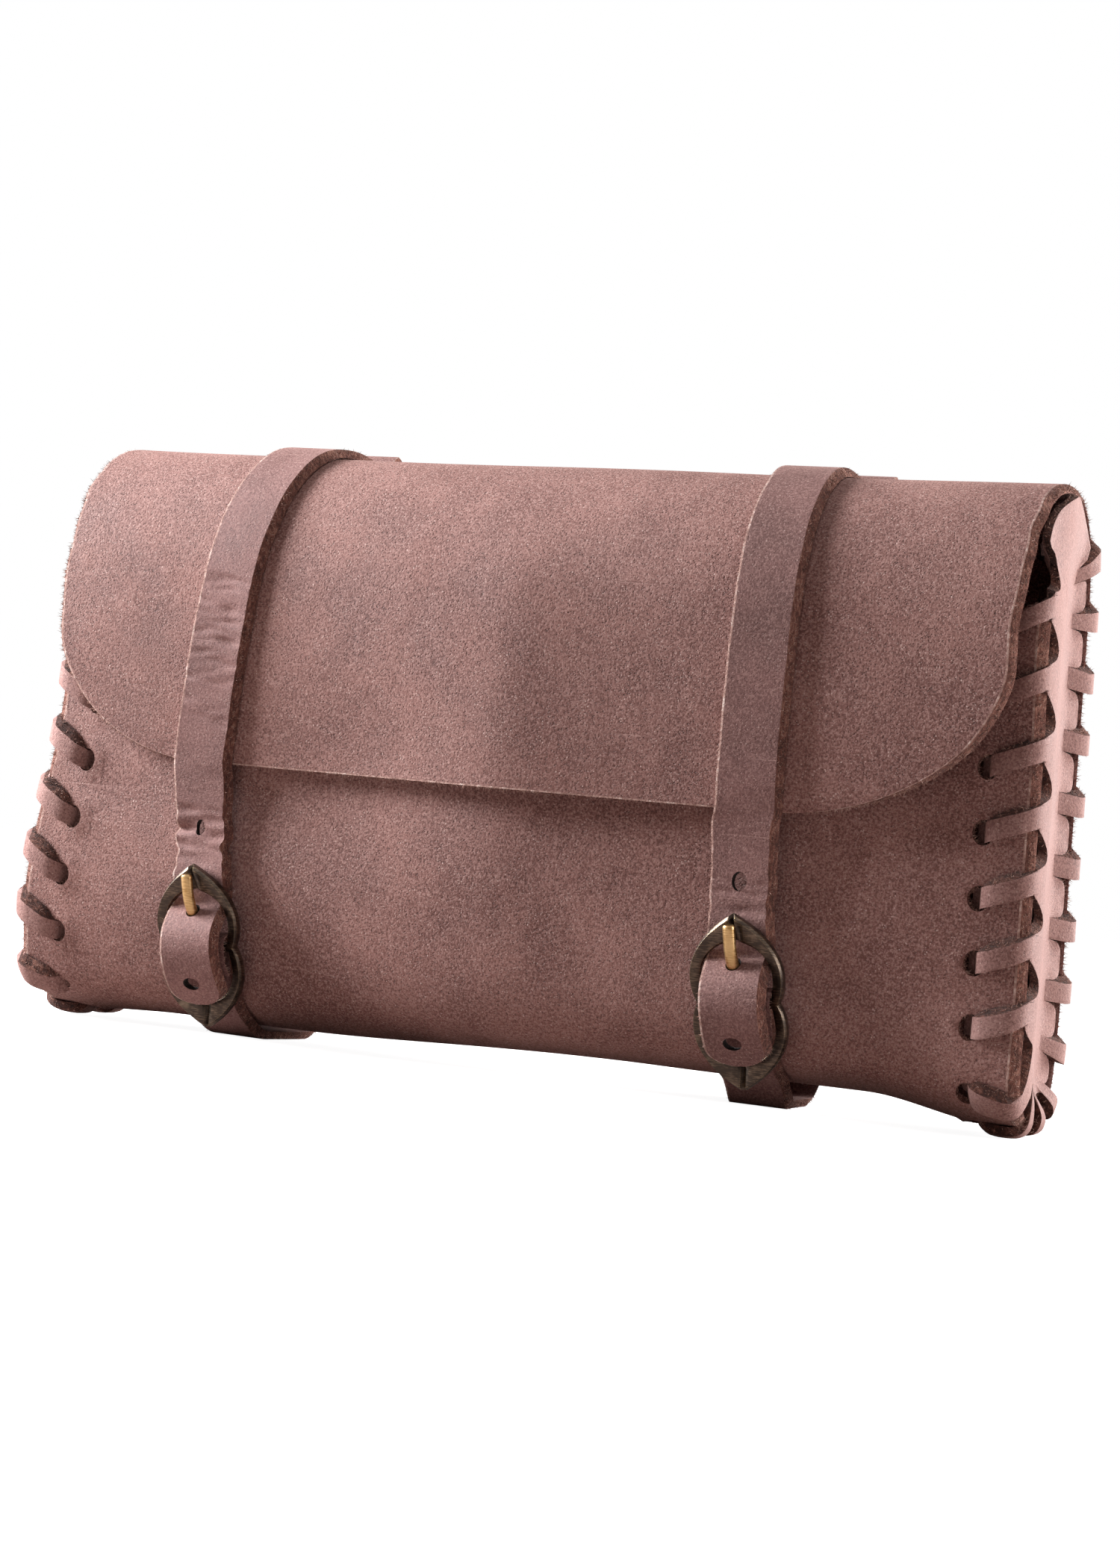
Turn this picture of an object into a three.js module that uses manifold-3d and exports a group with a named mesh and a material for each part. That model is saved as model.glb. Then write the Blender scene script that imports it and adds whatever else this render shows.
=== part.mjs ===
// A small leather belt bag, standing upright and closed. One strip of leather makes the front panel,
// the bottom, the back, the top fold and the flap. Each end is closed by a gusset whose border is cut
// into fingers that bend over the strip's edge and dive through punched holes. Two straps run right
// round the bag and close in cast double-loop buckles, and a belt loop is sewn on each at the back.
// Millimetres, +X to the bag's left-to-right as seen from the front, +Y to the back, +Z up.
import * as THREE from 'three';
import { mergeVertices } from 'three/addons/utils/BufferGeometryUtils.js';
import Module from 'manifold-3d';

const wasm = await Module();
wasm.setup();

const GAP = 0.35;                     // clearance between pieces that touch
const BODY_LEATHER = 2.2;
const HALF_WIDTH_BASE = 135.5;        // half the strip's width at floor height
const WIDTH_TAPER = 0.023;            // loss of half width for each unit of height
const EDGE_PULL_POWER = 4;            // how late across the width the side edges pull in
const FLAP = { left: 134.6, right: 129, edgeZ: 72.8, cornerZ: 104, leftCorner: 40, rightCorner: 44 };
const GUSSET = { leather: 2, proud: 1.1 };
const HOLES = { count: 20, inset: 10.2, long: 6, wide: 4.8, deep: 5.2, firstZ: 120.5, lastZ: 149 };
const FINGER = { half: 2.5, thick: 1.8, slantFront: 8, slantBack: 3.5, turnFrom: 6, turnTo: 12 };
const STRAP = { width: 15, thick: 2.4, skived: 1.5, slack: 1.6 };
const STRAP_HOLE = { radius: 1.9, sides: 8, deep: 7.2, prongDeep: 16.8, spareZ: 55.4, spareOff: 0.4 };
const STRAP_STEP = { below: 3.5, back: 0.2, landing: 10, landingOff: 0.9, landingShift: 0.8 };
const BUCKLE = { tip: 21, bulge: 11.7, waist: 10.2, thick: 2.6, bevel: 0.4, tilt: 15, lean: 5 };
const BUCKLE_CURVE = { waistPull: 2.4, widest: 6, bulgePull: 12, tipPullX: 6.5, tipPullY: 17.6 };
const BUCKLE_HOLE = { barX: 8.3, half: 8.9, widest: 6, sidePull: 11.5, endPull: 5.2, end: 15 };
const BAR = { half: 1.1, offPanel: 4.9 };
const PRONG = { ring: 2.8, ringWire: 0.95, armWire: 1.5, sides: 8 };
const PRONG_TURN = { from: -20, to: -260, step: 30 };   // degrees round the bar
const PRONG_SLOT = { wide: 3.2, deep: 8, tall: 8.6 };
const BELT_LOOP = { width: 15, thick: 2.2, stepsPerStretch: 2 };

const LEATHER = { color: 0x8f6a63, roughness: 0.85, metalness: 0 };
const STRAP_LEATHER = { color: 0x856461, roughness: 0.75, metalness: 0 };
const BRASS = { color: 0x6e5836, roughness: 0.4, metalness: 1 };

// Lines across the strip, in order from the mouth of the front panel to the end of the flap.
// y, z: outer face at mid width; pull: how far the side edges lie inside it;
// steps: facets to the next line.
const SECTION = [
  { at: 'front_top', y: -27.0, z: 125.0, pull: 0.6, steps: 1 },
  { at: 'front_high', y: -29.0, z: 100.0, pull: 1.4, steps: 1 },
  { at: 'front_mid', y: -30.0, z: 70.0, pull: 2.0, steps: 1 },
  { at: 'belly', y: -29.8, z: 45.0, pull: 1.8, steps: 2 },
  { at: 'front_low', y: -27.4, z: 26.0, pull: 0.8, steps: 3 },
  { at: 'turn_front', y: -21.5, z: 10.5, pull: -0.8, steps: 3 },
  { at: 'under_front', y: -10.0, z: 2.9, pull: 0.4, steps: 2 },
  { at: 'under_mid', y: 0.0, z: 2.8, pull: 0.5, steps: 2 },
  { at: 'under_back', y: 11.0, z: 3.0, pull: 0.4, steps: 3 },
  { at: 'turn_back', y: 22.5, z: 9.5, pull: -0.4, steps: 3 },
  { at: 'back_low', y: 28.2, z: 24.0, pull: 0.6, steps: 3 },
  { at: 'back_mid', y: 29.5, z: 70.0, pull: 1.0, steps: 1 },
  { at: 'back_high', y: 29.3, z: 120.0, pull: 0.6, steps: 1 },
  { at: 'back_top', y: 28.4, z: 140.0, pull: 0.4, steps: 2 },
  { at: 'turn_top', y: 24.2, z: 152.0, pull: 0.0, steps: 2 },
  { at: 'ridge_back', y: 13.5, z: 159.0, pull: -0.3, steps: 2 },
  { at: 'ridge', y: 0.0, z: 160.6, pull: -0.6, steps: 2 },
  { at: 'ridge_front', y: -14.5, z: 157.2, pull: -0.4, steps: 2 },
  { at: 'fold_front', y: -26.3, z: 146.6, pull: 0.0, steps: 2 },
  { at: 'flap_high', y: -32.4, z: 131.0, pull: 0.2, steps: 2 },
  { at: 'flap_corner', y: -34.6, z: FLAP.cornerZ, pull: 0.4, steps: 7 },
  { at: 'flap_edge', y: -33.4, z: FLAP.edgeZ, pull: 0.8, steps: 0 },
];
const COLUMNS = [-1, -0.9, -0.62, -0.25, 0.25, 0.62, 0.9, 1];

// Shallow dents, each a soft hollow centred on a place of the strip.
const DENTS = [
  { at: 'front_mid', x: -45, depth: 1.6, wide: 26, tall: 18 },
  { at: 'belly', x: 20, depth: 1.0, wide: 40, tall: 20 },
  { at: 'flap_corner', x: -10, depth: 1.2, wide: 14, tall: 34 },
];

// One finger from its root in the gusset to its end inside the bag.
// slant: share of the sideways shift already made; out: beyond the strip's side edge;
// off: from the strip's outer face.
const FINGER_PATH = [
  { slant: 0.0, out: 0.1, off: -8.0 },
  { slant: 0.12, out: 0.1, off: -4.8 },
  { slant: 0.25, out: 0.75, off: -3.3 },
  { slant: 0.36, out: 1.45, off: -1.6 },
  { slant: 0.45, out: 1.4, off: 0.1 },
  { slant: 0.52, out: 0.9, off: 1.15 },
  { slant: 0.6, out: -0.4, off: 1.45 },
  { slant: 0.85, out: -6.0, off: 1.4 },
  { slant: 0.97, out: -8.7, off: 1.1 },
  { slant: 1.0, out: -10.1, off: -0.5 },
  { slant: 1.0, out: -10.5, off: -2.5 },
  { slant: 1.0, out: -12.0, off: -3.7 },
  { slant: 1.0, out: -16.5, off: -3.8 },
];

// The gusset's rounded top, from the front panel's mouth up to where it meets the top fold.
const TONGUE = [
  { y: -24.6, z: 138.0 },
  { y: -22.6, z: 144.0 },
  { y: -16.6, z: 150.6 },
  { y: -9.3, z: 154.6 },
];

// Centre lines of the two straps across the bag, and the height of each buckle's bar and belt loop.
const STRAPS = [
  {
    side: 'left', buckleX: -81.2, stepX: -86.2, edgeX: -85.3, ridgeX: -76.6, backX: -78.2,
    barZ: 25.3, loopTop: 167.4,
  },
  {
    side: 'right', buckleX: 69.3, stepX: 66.4, edgeX: 67.1, ridgeX: 67.0, backX: 68.3,
    barZ: 27.3, loopTop: 164.6,
  },
];

// The strap and the prong near a buckle: out from the buckle's plane and up from its bar.
// The strap's folded end wraps the bar; its tongue comes down from the flap and over the bar.
const FOLD_PATH = [
  { out: 0.9, up: -7.0 },
  { out: 2.2, up: -4.2 },
  { out: 2.45, up: -0.8 },
  { out: 2.2, up: 1.5 },
  { out: 0.9, up: 2.6 },
  { out: -0.9, up: 2.6 },
  { out: -2.2, up: 1.5 },
  { out: -2.45, up: -0.8 },
  { out: -2.6, up: -4.5 },
];
const TONGUE_PATH = [
  { out: -3.1, up: 18.0, half: 7.5 },
  { out: -3.0, up: 13.0, half: 7.5 },
  { out: -1.5, up: 8.6, half: 7.5 },
  { out: 2.0, up: 6.2, half: 7.5 },
  { out: 4.7, up: 3.2, half: 7.5 },
  { out: 5.7, up: -0.5, half: 7.5 },
  { out: 5.3, up: -5.0, half: 7.5 },
  { out: 4.2, up: -8.6, half: 7.4 },
  { out: 3.2, up: -11.0, half: 6.6 },
  { out: 2.2, up: -12.8, half: 4.9 },
  { out: 1.5, up: -14.0, half: 2.4 },
];
const PRONG_ARM = [
  { out: 0.7, up: 4.6 },
  { out: 1.3, up: 7.0 },
  { out: 2.5, up: 9.6 },
  { out: 3.2, up: 12.6 },
  { out: 3.2, up: 16.0 },
  { out: 3.05, up: 19.2 },
];

// The belt loop behind the bag: sewn end, long bow, arch over the top and inner sewn end.
// z below the arch is a height, and drop is measured down from the top of the arch.
const BELT_LOOP_PATH = [
  { y: 33.9, z: 48 },
  { y: 33.9, z: 60 },
  { y: 36.4, z: 70 },
  { y: 41.0, z: 80 },
  { y: 43.2, z: 92 },
  { y: 43.2, z: 108 },
  { y: 43.2, z: 124 },
  { y: 43.2, drop: 17 },
  { y: 41.8, drop: 5.5 },
  { y: 38.6, drop: 0.6 },
  { y: 35.4, drop: 2.6 },
  { y: 33.9, drop: 10 },
  { y: 33.8, drop: 22 },
  { y: 33.9, drop: 44 },
];

const TONGUE_HOLE_STOP = 7;   // the tongue's own spare hole
const X_AXIS = new THREE.Vector3(1, 0, 0);
const Z_AXIS = new THREE.Vector3(0, 0, 1);
const FRONT = new THREE.Vector3(0, -1, 0);
const lastRow = SECTION.length - 1;
const ridgeRow = rowOf('ridge');
const profile = new THREE.CatmullRomCurve3(SECTION.map((row) => new THREE.Vector3(0, row.y, row.z)));

function rowOf(name) {
  return SECTION.findIndex((row) => row.at === name);
}

function halfWidthAt(z) {
  return HALF_WIDTH_BASE - WIDTH_TAPER * z;
}

// Where the strip ends on the left and right at a place along it, with the flap's rounded corners.
function sideEdges(u, z) {
  const share = THREE.MathUtils.smoothstep(u, ridgeRow - 1, ridgeRow + 2);
  const drop = u > rowOf('flap_corner') ? (FLAP.cornerZ - z) / (FLAP.cornerZ - FLAP.edgeZ) : 0;
  const corner = 1 - Math.sqrt(Math.max(0, 1 - drop * drop));
  const left = THREE.MathUtils.lerp(halfWidthAt(z), FLAP.left, share) - FLAP.leftCorner * corner;
  const right = THREE.MathUtils.lerp(halfWidthAt(z), FLAP.right, share) - FLAP.rightCorner * corner;
  return { left, right };
}

// A place along the strip's section: its mid-width point, the way along it and the way out of the bag.
function sectionAt(u) {
  const share = THREE.MathUtils.clamp(u / lastRow, 0, 1);
  const point = profile.getPoint(share);
  const along = profile.getTangent(share);
  const out = new THREE.Vector3(0, along.z, -along.y);
  const row = Math.min(Math.floor(u), lastRow - 1);
  const pull = THREE.MathUtils.lerp(SECTION[row].pull, SECTION[row + 1].pull, u - row);
  return { point, along, out, pull, edges: sideEdges(u, point.z) };
}

function dentDepth(point, x) {
  let depth = 0;
  for (const dent of DENTS) {
    const centre = SECTION[rowOf(dent.at)];
    const across = (x - dent.x) / dent.wide;
    const away = Math.hypot(point.y - centre.y, point.z - centre.z) / dent.tall;
    depth += dent.depth * Math.exp(-across * across - away * away);
  }
  return depth;
}

// A point of the strip's outer face at a place along it and a distance x from the bag's middle.
function outerAt(u, x) {
  const { point, out, pull, edges } = sectionAt(u);
  const side = x < 0 ? -x / edges.left : x / edges.right;
  const inward = pull * side ** EDGE_PULL_POWER + dentDepth(point, x);
  return new THREE.Vector3(x, point.y, point.z).addScaledVector(out, -inward);
}

// The places along the strip where its facets meet. The flap's last stretch is closer set at its end.
function facetPlaces(from, to) {
  const places = [];
  for (let row = from; row < to; row += 1) {
    for (let step = 0; step < SECTION[row].steps; step += 1) {
      const share = step / SECTION[row].steps;
      places.push(row + (row === lastRow - 1 ? Math.sin(share * Math.PI / 2) : share));
    }
  }
  places.push(to);
  return places;
}

// A closed sheet between two grids of points, one for each face.
function thickSheet(outer, inner) {
  const rows = outer.length;
  const columns = outer[0].length;
  const points = [...outer.flat(), ...inner.flat()];
  const at = (face, row, column) => (face * rows + row) * columns + column;
  const index = [];
  const quad = (a, b, c, d) => index.push(a, b, c, a, c, d);
  for (let r = 0; r < rows - 1; r += 1) {
    for (let c = 0; c < columns - 1; c += 1) {
      quad(at(0, r, c), at(0, r, c + 1), at(0, r + 1, c + 1), at(0, r + 1, c));
      quad(at(1, r, c), at(1, r + 1, c), at(1, r + 1, c + 1), at(1, r, c + 1));
    }
    const end = columns - 1;
    quad(at(0, r, 0), at(0, r + 1, 0), at(1, r + 1, 0), at(1, r, 0));
    quad(at(0, r + 1, end), at(0, r, end), at(1, r, end), at(1, r + 1, end));
  }
  for (let c = 0; c < columns - 1; c += 1) {
    const end = rows - 1;
    quad(at(0, 0, c + 1), at(0, 0, c), at(1, 0, c), at(1, 0, c + 1));
    quad(at(0, end, c), at(0, end, c + 1), at(1, end, c + 1), at(1, end, c));
  }
  const geometry = new THREE.BufferGeometry().setFromPoints(points);
  geometry.setIndex(index);
  return facingOut(geometry);
}

// Turns a closed geometry's triangles round if they face inwards.
function facingOut(geometry) {
  const position = geometry.getAttribute('position');
  const index = geometry.getIndex().array;
  const [a, b, c] = [new THREE.Vector3(), new THREE.Vector3(), new THREE.Vector3()];
  let volume = 0;
  for (let i = 0; i < index.length; i += 3) {
    a.fromBufferAttribute(position, index[i]);
    b.fromBufferAttribute(position, index[i + 1]);
    c.fromBufferAttribute(position, index[i + 2]);
    volume += a.dot(b.cross(c));
  }
  if (volume < 0) {
    index.reverse();
  }
  return geometry;
}

// A strip of leather along a path. Each stop has a centre, a direction across, half width and thickness.
function ribbon(stops) {
  const outer = [];
  const inner = [];
  stops.forEach((stop, i) => {
    const before = stops[Math.max(i - 1, 0)].point;
    const after = stops[Math.min(i + 1, stops.length - 1)].point;
    const along = after.clone().sub(before);
    const out = new THREE.Vector3().crossVectors(stop.across, along).normalize();
    for (const [face, sign] of [[outer, 0.5], [inner, -0.5]]) {
      const middle = stop.point.clone().addScaledVector(out, sign * stop.thick);
      face.push([-1, 1].map((side) => middle.clone().addScaledVector(stop.across, side * stop.half)));
    }
  });
  return thickSheet(outer, inner);
}

// A round wire along a path, with a radius at each stop.
function wire(stops, sides) {
  const points = [];
  const index = [];
  stops.forEach((stop, i) => {
    const before = stops[Math.max(i - 1, 0)].point;
    const after = stops[Math.min(i + 1, stops.length - 1)].point;
    const out = new THREE.Vector3().crossVectors(stop.across, after.clone().sub(before)).normalize();
    for (let k = 0; k < sides; k += 1) {
      const turn = (2 * Math.PI * k) / sides;
      points.push(stop.point.clone()
        .addScaledVector(stop.across, stop.radius * Math.cos(turn))
        .addScaledVector(out, stop.radius * Math.sin(turn)));
    }
  });
  const last = (stops.length - 1) * sides;
  for (let i = 0; i < stops.length - 1; i += 1) {
    for (let k = 0; k < sides; k += 1) {
      const [a, b] = [i * sides + k, i * sides + ((k + 1) % sides)];
      index.push(a, b, b + sides, a, b + sides, a + sides);
    }
  }
  for (let k = 1; k < sides - 1; k += 1) {
    index.push(0, k + 1, k, last, last + k, last + k + 1);
  }
  const geometry = new THREE.BufferGeometry().setFromPoints(points);
  geometry.setIndex(index);
  return facingOut(geometry);
}

function toSolid(geometry) {
  geometry.deleteAttribute('normal');
  geometry.deleteAttribute('uv');
  const merged = mergeVertices(geometry, 1e-4);
  const vertProperties = new Float32Array(merged.getAttribute('position').array);
  const triVerts = new Uint32Array(merged.getIndex().array);
  return new wasm.Manifold(new wasm.Mesh({ numProp: 3, vertProperties, triVerts }));
}

function toGeometry(solid) {
  const mesh = solid.getMesh();
  const geometry = new THREE.BufferGeometry();
  geometry.setAttribute('position', new THREE.BufferAttribute(mesh.vertProperties, mesh.numProp));
  geometry.setIndex(new THREE.BufferAttribute(mesh.triVerts, 1));
  return geometry;
}

// A cutting tool placed with its y axis on the way out of a sheet and its z axis along the sheet.
function punch(tool, centre, along, out) {
  const across = new THREE.Vector3().crossVectors(out, along);
  return toSolid(tool.applyMatrix4(new THREE.Matrix4().makeBasis(across, out, along).setPosition(centre)));
}

function named(name, geometry, look) {
  const mesh = new THREE.Mesh(geometry, new THREE.MeshStandardMaterial(look));
  mesh.name = name;
  return mesh;
}

// Places of the lacing holes along the strip, evenly spaced round the section from mouth to top.
function holePlaces() {
  const fine = 40;
  const places = [];
  let length = 0;
  let last = null;
  for (let i = 0; i <= ridgeRow * fine; i += 1) {
    const u = i / fine;
    const { point } = sectionAt(u);
    length += last ? point.distanceTo(last) : 0;
    last = point;
    places.push({ u, length, z: point.z });
  }
  const first = places.find((place) => place.z <= HOLES.firstZ);
  const end = places.find((place) => place.u > rowOf('back_low') && place.z >= HOLES.lastZ);
  const pitch = (end.length - first.length) / (HOLES.count - 1);
  const placeAt = (distance) => places.find((place) => place.length >= distance) ?? places.at(-1);
  return Array.from({ length: HOLES.count }, (_, k) => {
    const distance = first.length + k * pitch;
    return { k, distance, placeAt: (shift) => placeAt(distance - shift).u };
  });
}

const lacing = holePlaces();

function sideOf(u, side) {
  const { edges } = sectionAt(u);
  return side < 0 ? -edges.left : edges.right;
}

function bodyPanel() {
  const outer = [];
  const inner = [];
  for (const u of facetPlaces(0, lastRow)) {
    const { out, edges } = sectionAt(u);
    const row = COLUMNS.map((column) => outerAt(u, column < 0 ? column * edges.left : column * edges.right));
    outer.push(row);
    inner.push(row.map((point) => point.clone().addScaledVector(out, -BODY_LEATHER)));
  }
  let solid = toSolid(thickSheet(outer, inner));
  for (const side of [-1, 1]) {
    for (const hole of lacing) {
      const u = hole.placeAt(0);
      const { along, out } = sectionAt(u);
      const face = outerAt(u, sideOf(u, side) - side * HOLES.inset);
      const centre = face.addScaledVector(out, -BODY_LEATHER / 2);
      const tool = new THREE.BoxGeometry(HOLES.wide, HOLES.deep, HOLES.long);
      solid = solid.subtract(punch(tool, centre, along, out));
    }
  }
  return toGeometry(solid);
}

// The gusset's plate follows the strip's inner face and ends above in a rounded tongue.
function gussetPlate(side) {
  const inset = BODY_LEATHER + GAP;
  const outline = facetPlaces(0, ridgeRow).map((u) => {
    const { out } = sectionAt(u);
    return outerAt(u, sideOf(u, side)).addScaledVector(out, -inset);
  });
  const shape = new THREE.Shape(outline.map((point) => new THREE.Vector2(point.y, point.z)));
  for (const stop of TONGUE.toReversed()) {
    shape.lineTo(stop.y, stop.z);
  }
  const plate = new THREE.ExtrudeGeometry(shape, { depth: GUSSET.leather, bevelEnabled: false });
  const position = plate.getAttribute('position');
  for (let i = 0; i < position.count; i += 1) {
    const [y, z, depth] = [position.getX(i), position.getY(i), position.getZ(i)];
    const x = halfWidthAt(z) + GUSSET.proud - GUSSET.leather + depth;
    position.setXYZ(i, side * x, y, z);
  }
  plate.deleteAttribute('normal');
  plate.deleteAttribute('uv');
  return facingOut(mergeVertices(plate, 1e-4));
}

function finger(hole, side) {
  const turn = THREE.MathUtils.smoothstep(hole.k, FINGER.turnFrom, FINGER.turnTo);
  const slant = THREE.MathUtils.lerp(FINGER.slantFront, FINGER.slantBack, turn);
  const stops = FINGER_PATH.map((stop) => {
    const u = hole.placeAt(slant * (1 - stop.slant));
    const { along, out } = sectionAt(u);
    const edge = sideOf(u, side);
    const base = outerAt(u, edge + side * Math.min(stop.out, 0));
    const point = base.addScaledVector(X_AXIS, side * Math.max(stop.out, 0)).addScaledVector(out, stop.off);
    return { point, across: along, half: FINGER.half, thick: FINGER.thick };
  });
  return ribbon(stops);
}

function gusset(side) {
  let solid = toSolid(gussetPlate(side));
  for (const hole of lacing) {
    solid = solid.add(toSolid(finger(hole, side)));
  }
  return toGeometry(solid);
}

// The plane of a buckle: its bar's centre and the directions across, up and out of it.
function buckleFrame(strap) {
  const tilt = THREE.MathUtils.degToRad(BUCKLE.tilt);
  const out = new THREE.Vector3(0, -Math.cos(tilt), -Math.sin(tilt));
  const places = facetPlaces(rowOf('front_mid'), rowOf('turn_front'));
  const nearest = places.reduce((best, u) => (
    Math.abs(sectionAt(u).point.z - strap.barZ) < Math.abs(sectionAt(best).point.z - strap.barZ) ? u : best
  ));
  const panel = outerAt(nearest, strap.buckleX);
  const centre = new THREE.Vector3(strap.buckleX, panel.y, strap.barZ).addScaledVector(out, BAR.offPanel);
  const lean = THREE.MathUtils.degToRad(BUCKLE.lean);
  const upright = new THREE.Vector3(0, -Math.sin(tilt), Math.cos(tilt));
  const up = upright.applyAxisAngle(out, lean);
  const across = new THREE.Vector3().crossVectors(up, out);
  return { centre, across, up, out };
}

function inBuckle({ centre, up, out }, stop) {
  return centre.clone().addScaledVector(out, stop.out).addScaledVector(up, stop.up);
}

function buckleGeometry(frame) {
  const { tip, bulge, waist, thick, bevel } = BUCKLE;
  const { waistPull, widest, bulgePull, tipPullX, tipPullY } = BUCKLE_CURVE;
  const shape = new THREE.Shape();
  shape.moveTo(waist, 0);
  for (const sign of [1, -1]) {
    const rim = sign * bulge;
    shape.quadraticCurveTo(rim, sign * waistPull, rim, sign * widest);
    shape.bezierCurveTo(rim, sign * bulgePull, sign * tipPullX, sign * tipPullY, 0, sign * tip);
    shape.bezierCurveTo(-sign * tipPullX, sign * tipPullY, -rim, sign * bulgePull, -rim, sign * widest);
    shape.quadraticCurveTo(-rim, sign * waistPull, -sign * waist, 0);
  }
  const { barX, half, sidePull, endPull, end } = BUCKLE_HOLE;
  for (const sign of [1, -1]) {
    const hole = new THREE.Path();
    hole.moveTo(barX, sign * BAR.half);
    hole.lineTo(half, sign * BUCKLE_HOLE.widest);
    hole.bezierCurveTo(half, sign * sidePull, endPull, sign * end, 0, sign * end);
    hole.bezierCurveTo(-endPull, sign * end, -half, sign * sidePull, -half, sign * BUCKLE_HOLE.widest);
    hole.lineTo(-barX, sign * BAR.half);
    shape.holes.push(hole);
  }
  const geometry = new THREE.ExtrudeGeometry(shape, {
    depth: thick - 2 * bevel,
    bevelThickness: bevel,
    bevelSize: bevel,
    bevelOffset: -bevel,
    bevelSegments: 1,
    curveSegments: 5,
  });
  geometry.translate(0, 0, bevel - thick / 2);
  geometry.deleteAttribute('normal');
  geometry.deleteAttribute('uv');
  const basis = new THREE.Matrix4().makeBasis(frame.across, frame.up, frame.out).setPosition(frame.centre);
  return facingOut(mergeVertices(geometry.applyMatrix4(basis), 1e-4));
}

// The prong is bent round the bar and lies with its point on the upper tip.
function prongGeometry(frame) {
  const stops = [];
  for (let degrees = PRONG_TURN.from; degrees >= PRONG_TURN.to; degrees -= PRONG_TURN.step) {
    const turn = THREE.MathUtils.degToRad(degrees);
    const place = { out: PRONG.ring * Math.cos(turn), up: PRONG.ring * Math.sin(turn) };
    stops.push({ point: inBuckle(frame, place), across: frame.across, radius: PRONG.ringWire });
  }
  PRONG_ARM.forEach((stop, i) => {
    const radius = i === 0 ? (PRONG.ringWire + PRONG.armWire) / 2 : PRONG.armWire;
    stops.push({ point: inBuckle(frame, stop), across: frame.across, radius });
  });
  return wire(stops, PRONG.sides);
}

// A point of the strap's centre line where it lies on the bag's outer face.
function onBody(u, x, lift = 0) {
  const { out } = sectionAt(u);
  return outerAt(u, x).addScaledVector(out, GAP + STRAP.thick / 2 + lift);
}

// The strap runs from its fold round the bar, under the bag, up the back, over the top and the flap,
// down a step to the front panel and through the buckle. Under the bag it lies flat on the floor.
function strapStops(strap, frame) {
  const half = STRAP.width / 2;
  const thick = STRAP.thick;
  const stops = FOLD_PATH.map((stop) => (
    { point: inBuckle(frame, stop), across: frame.across, half, thick: STRAP.skived }
  ));
  const turnFront = rowOf('turn_front');
  const [underFront, underBack] = [rowOf('under_front'), rowOf('under_back')];
  const flapEdge = lastRow;
  const centreX = (u) => {
    const back = THREE.MathUtils.smoothstep(u, turnFront, underBack);
    const top = THREE.MathUtils.smoothstep(u, rowOf('back_high'), ridgeRow);
    const flap = THREE.MathUtils.clamp((u - ridgeRow) / (flapEdge - ridgeRow), 0, 1);
    const low = THREE.MathUtils.lerp(strap.buckleX, strap.backX, back);
    return THREE.MathUtils.lerp(THREE.MathUtils.lerp(low, strap.ridgeX, top), strap.edgeX, flap);
  };
  for (const u of facetPlaces(turnFront, flapEdge)) {
    const lift = STRAP.slack * (1 - THREE.MathUtils.smoothstep(u, turnFront, turnFront + 1));
    const point = onBody(u, centreX(u), lift);
    if (u >= underFront && u <= underBack) {
      point.z = thick / 2;
    }
    stops.push({ point, across: X_AXIS, half, thick });
  }
  const edgeY = stops.at(-1).point.y + STRAP_STEP.back;
  const panelY = onBody(rowOf('front_mid'), strap.stepX).y;
  const landingX = strap.stepX + STRAP_STEP.landingShift;
  const spareX = (strap.stepX + inBuckle(frame, TONGUE_PATH[0]).x) / 2;
  const spareHole = new THREE.Vector3(spareX, panelY - STRAP_HOLE.spareOff, STRAP_HOLE.spareZ);
  const step = [
    new THREE.Vector3(strap.stepX, edgeY, FLAP.edgeZ - STRAP_STEP.below),
    new THREE.Vector3(landingX, panelY - STRAP_STEP.landingOff, FLAP.edgeZ - STRAP_STEP.landing),
    spareHole,
  ];
  for (const point of step) {
    stops.push({ point, across: X_AXIS, half, thick });
  }
  for (const stop of TONGUE_PATH) {
    stops.push({ point: inBuckle(frame, stop), across: frame.across, half: stop.half, thick });
  }
  return { stops, spareHole };
}

function strapGeometry(strap, frame) {
  const { stops, spareHole } = strapStops(strap, frame);
  const { radius, sides, deep, prongDeep } = STRAP_HOLE;
  const round = (length) => new THREE.CylinderGeometry(radius, radius, length, sides);
  const [from, through, to] = PRONG_ARM.map((stop) => inBuckle(frame, stop));
  const armWay = to.clone().sub(from).normalize();
  const armAcross = new THREE.Vector3().crossVectors(frame.across, armWay).normalize();
  const slot = new THREE.BoxGeometry(PRONG_SLOT.wide, PRONG_SLOT.deep, PRONG_SLOT.tall);
  const cuts = [
    punch(round(deep), spareHole, Z_AXIS, FRONT),
    punch(round(deep), inBuckle(frame, TONGUE_PATH[TONGUE_HOLE_STOP]), frame.up, frame.out),
    punch(round(prongDeep), through, armAcross, armWay),
    punch(slot, frame.centre, frame.up, frame.out),
  ];
  return toGeometry(cuts.reduce((strip, cut) => strip.subtract(cut), toSolid(ribbon(stops))));
}

function beltLoopGeometry(strap) {
  const curve = new THREE.CatmullRomCurve3(BELT_LOOP_PATH.map((stop) => (
    new THREE.Vector3(strap.backX, stop.y, stop.z ?? strap.loopTop - BELT_LOOP.thick / 2 - stop.drop)
  )));
  const stretches = BELT_LOOP_PATH.length - 1;
  const stops = curve.getPoints(BELT_LOOP.stepsPerStretch * stretches).map((point) => (
    { point, across: X_AXIS, half: BELT_LOOP.width / 2, thick: BELT_LOOP.thick }
  ));
  return ribbon(stops);
}

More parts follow.
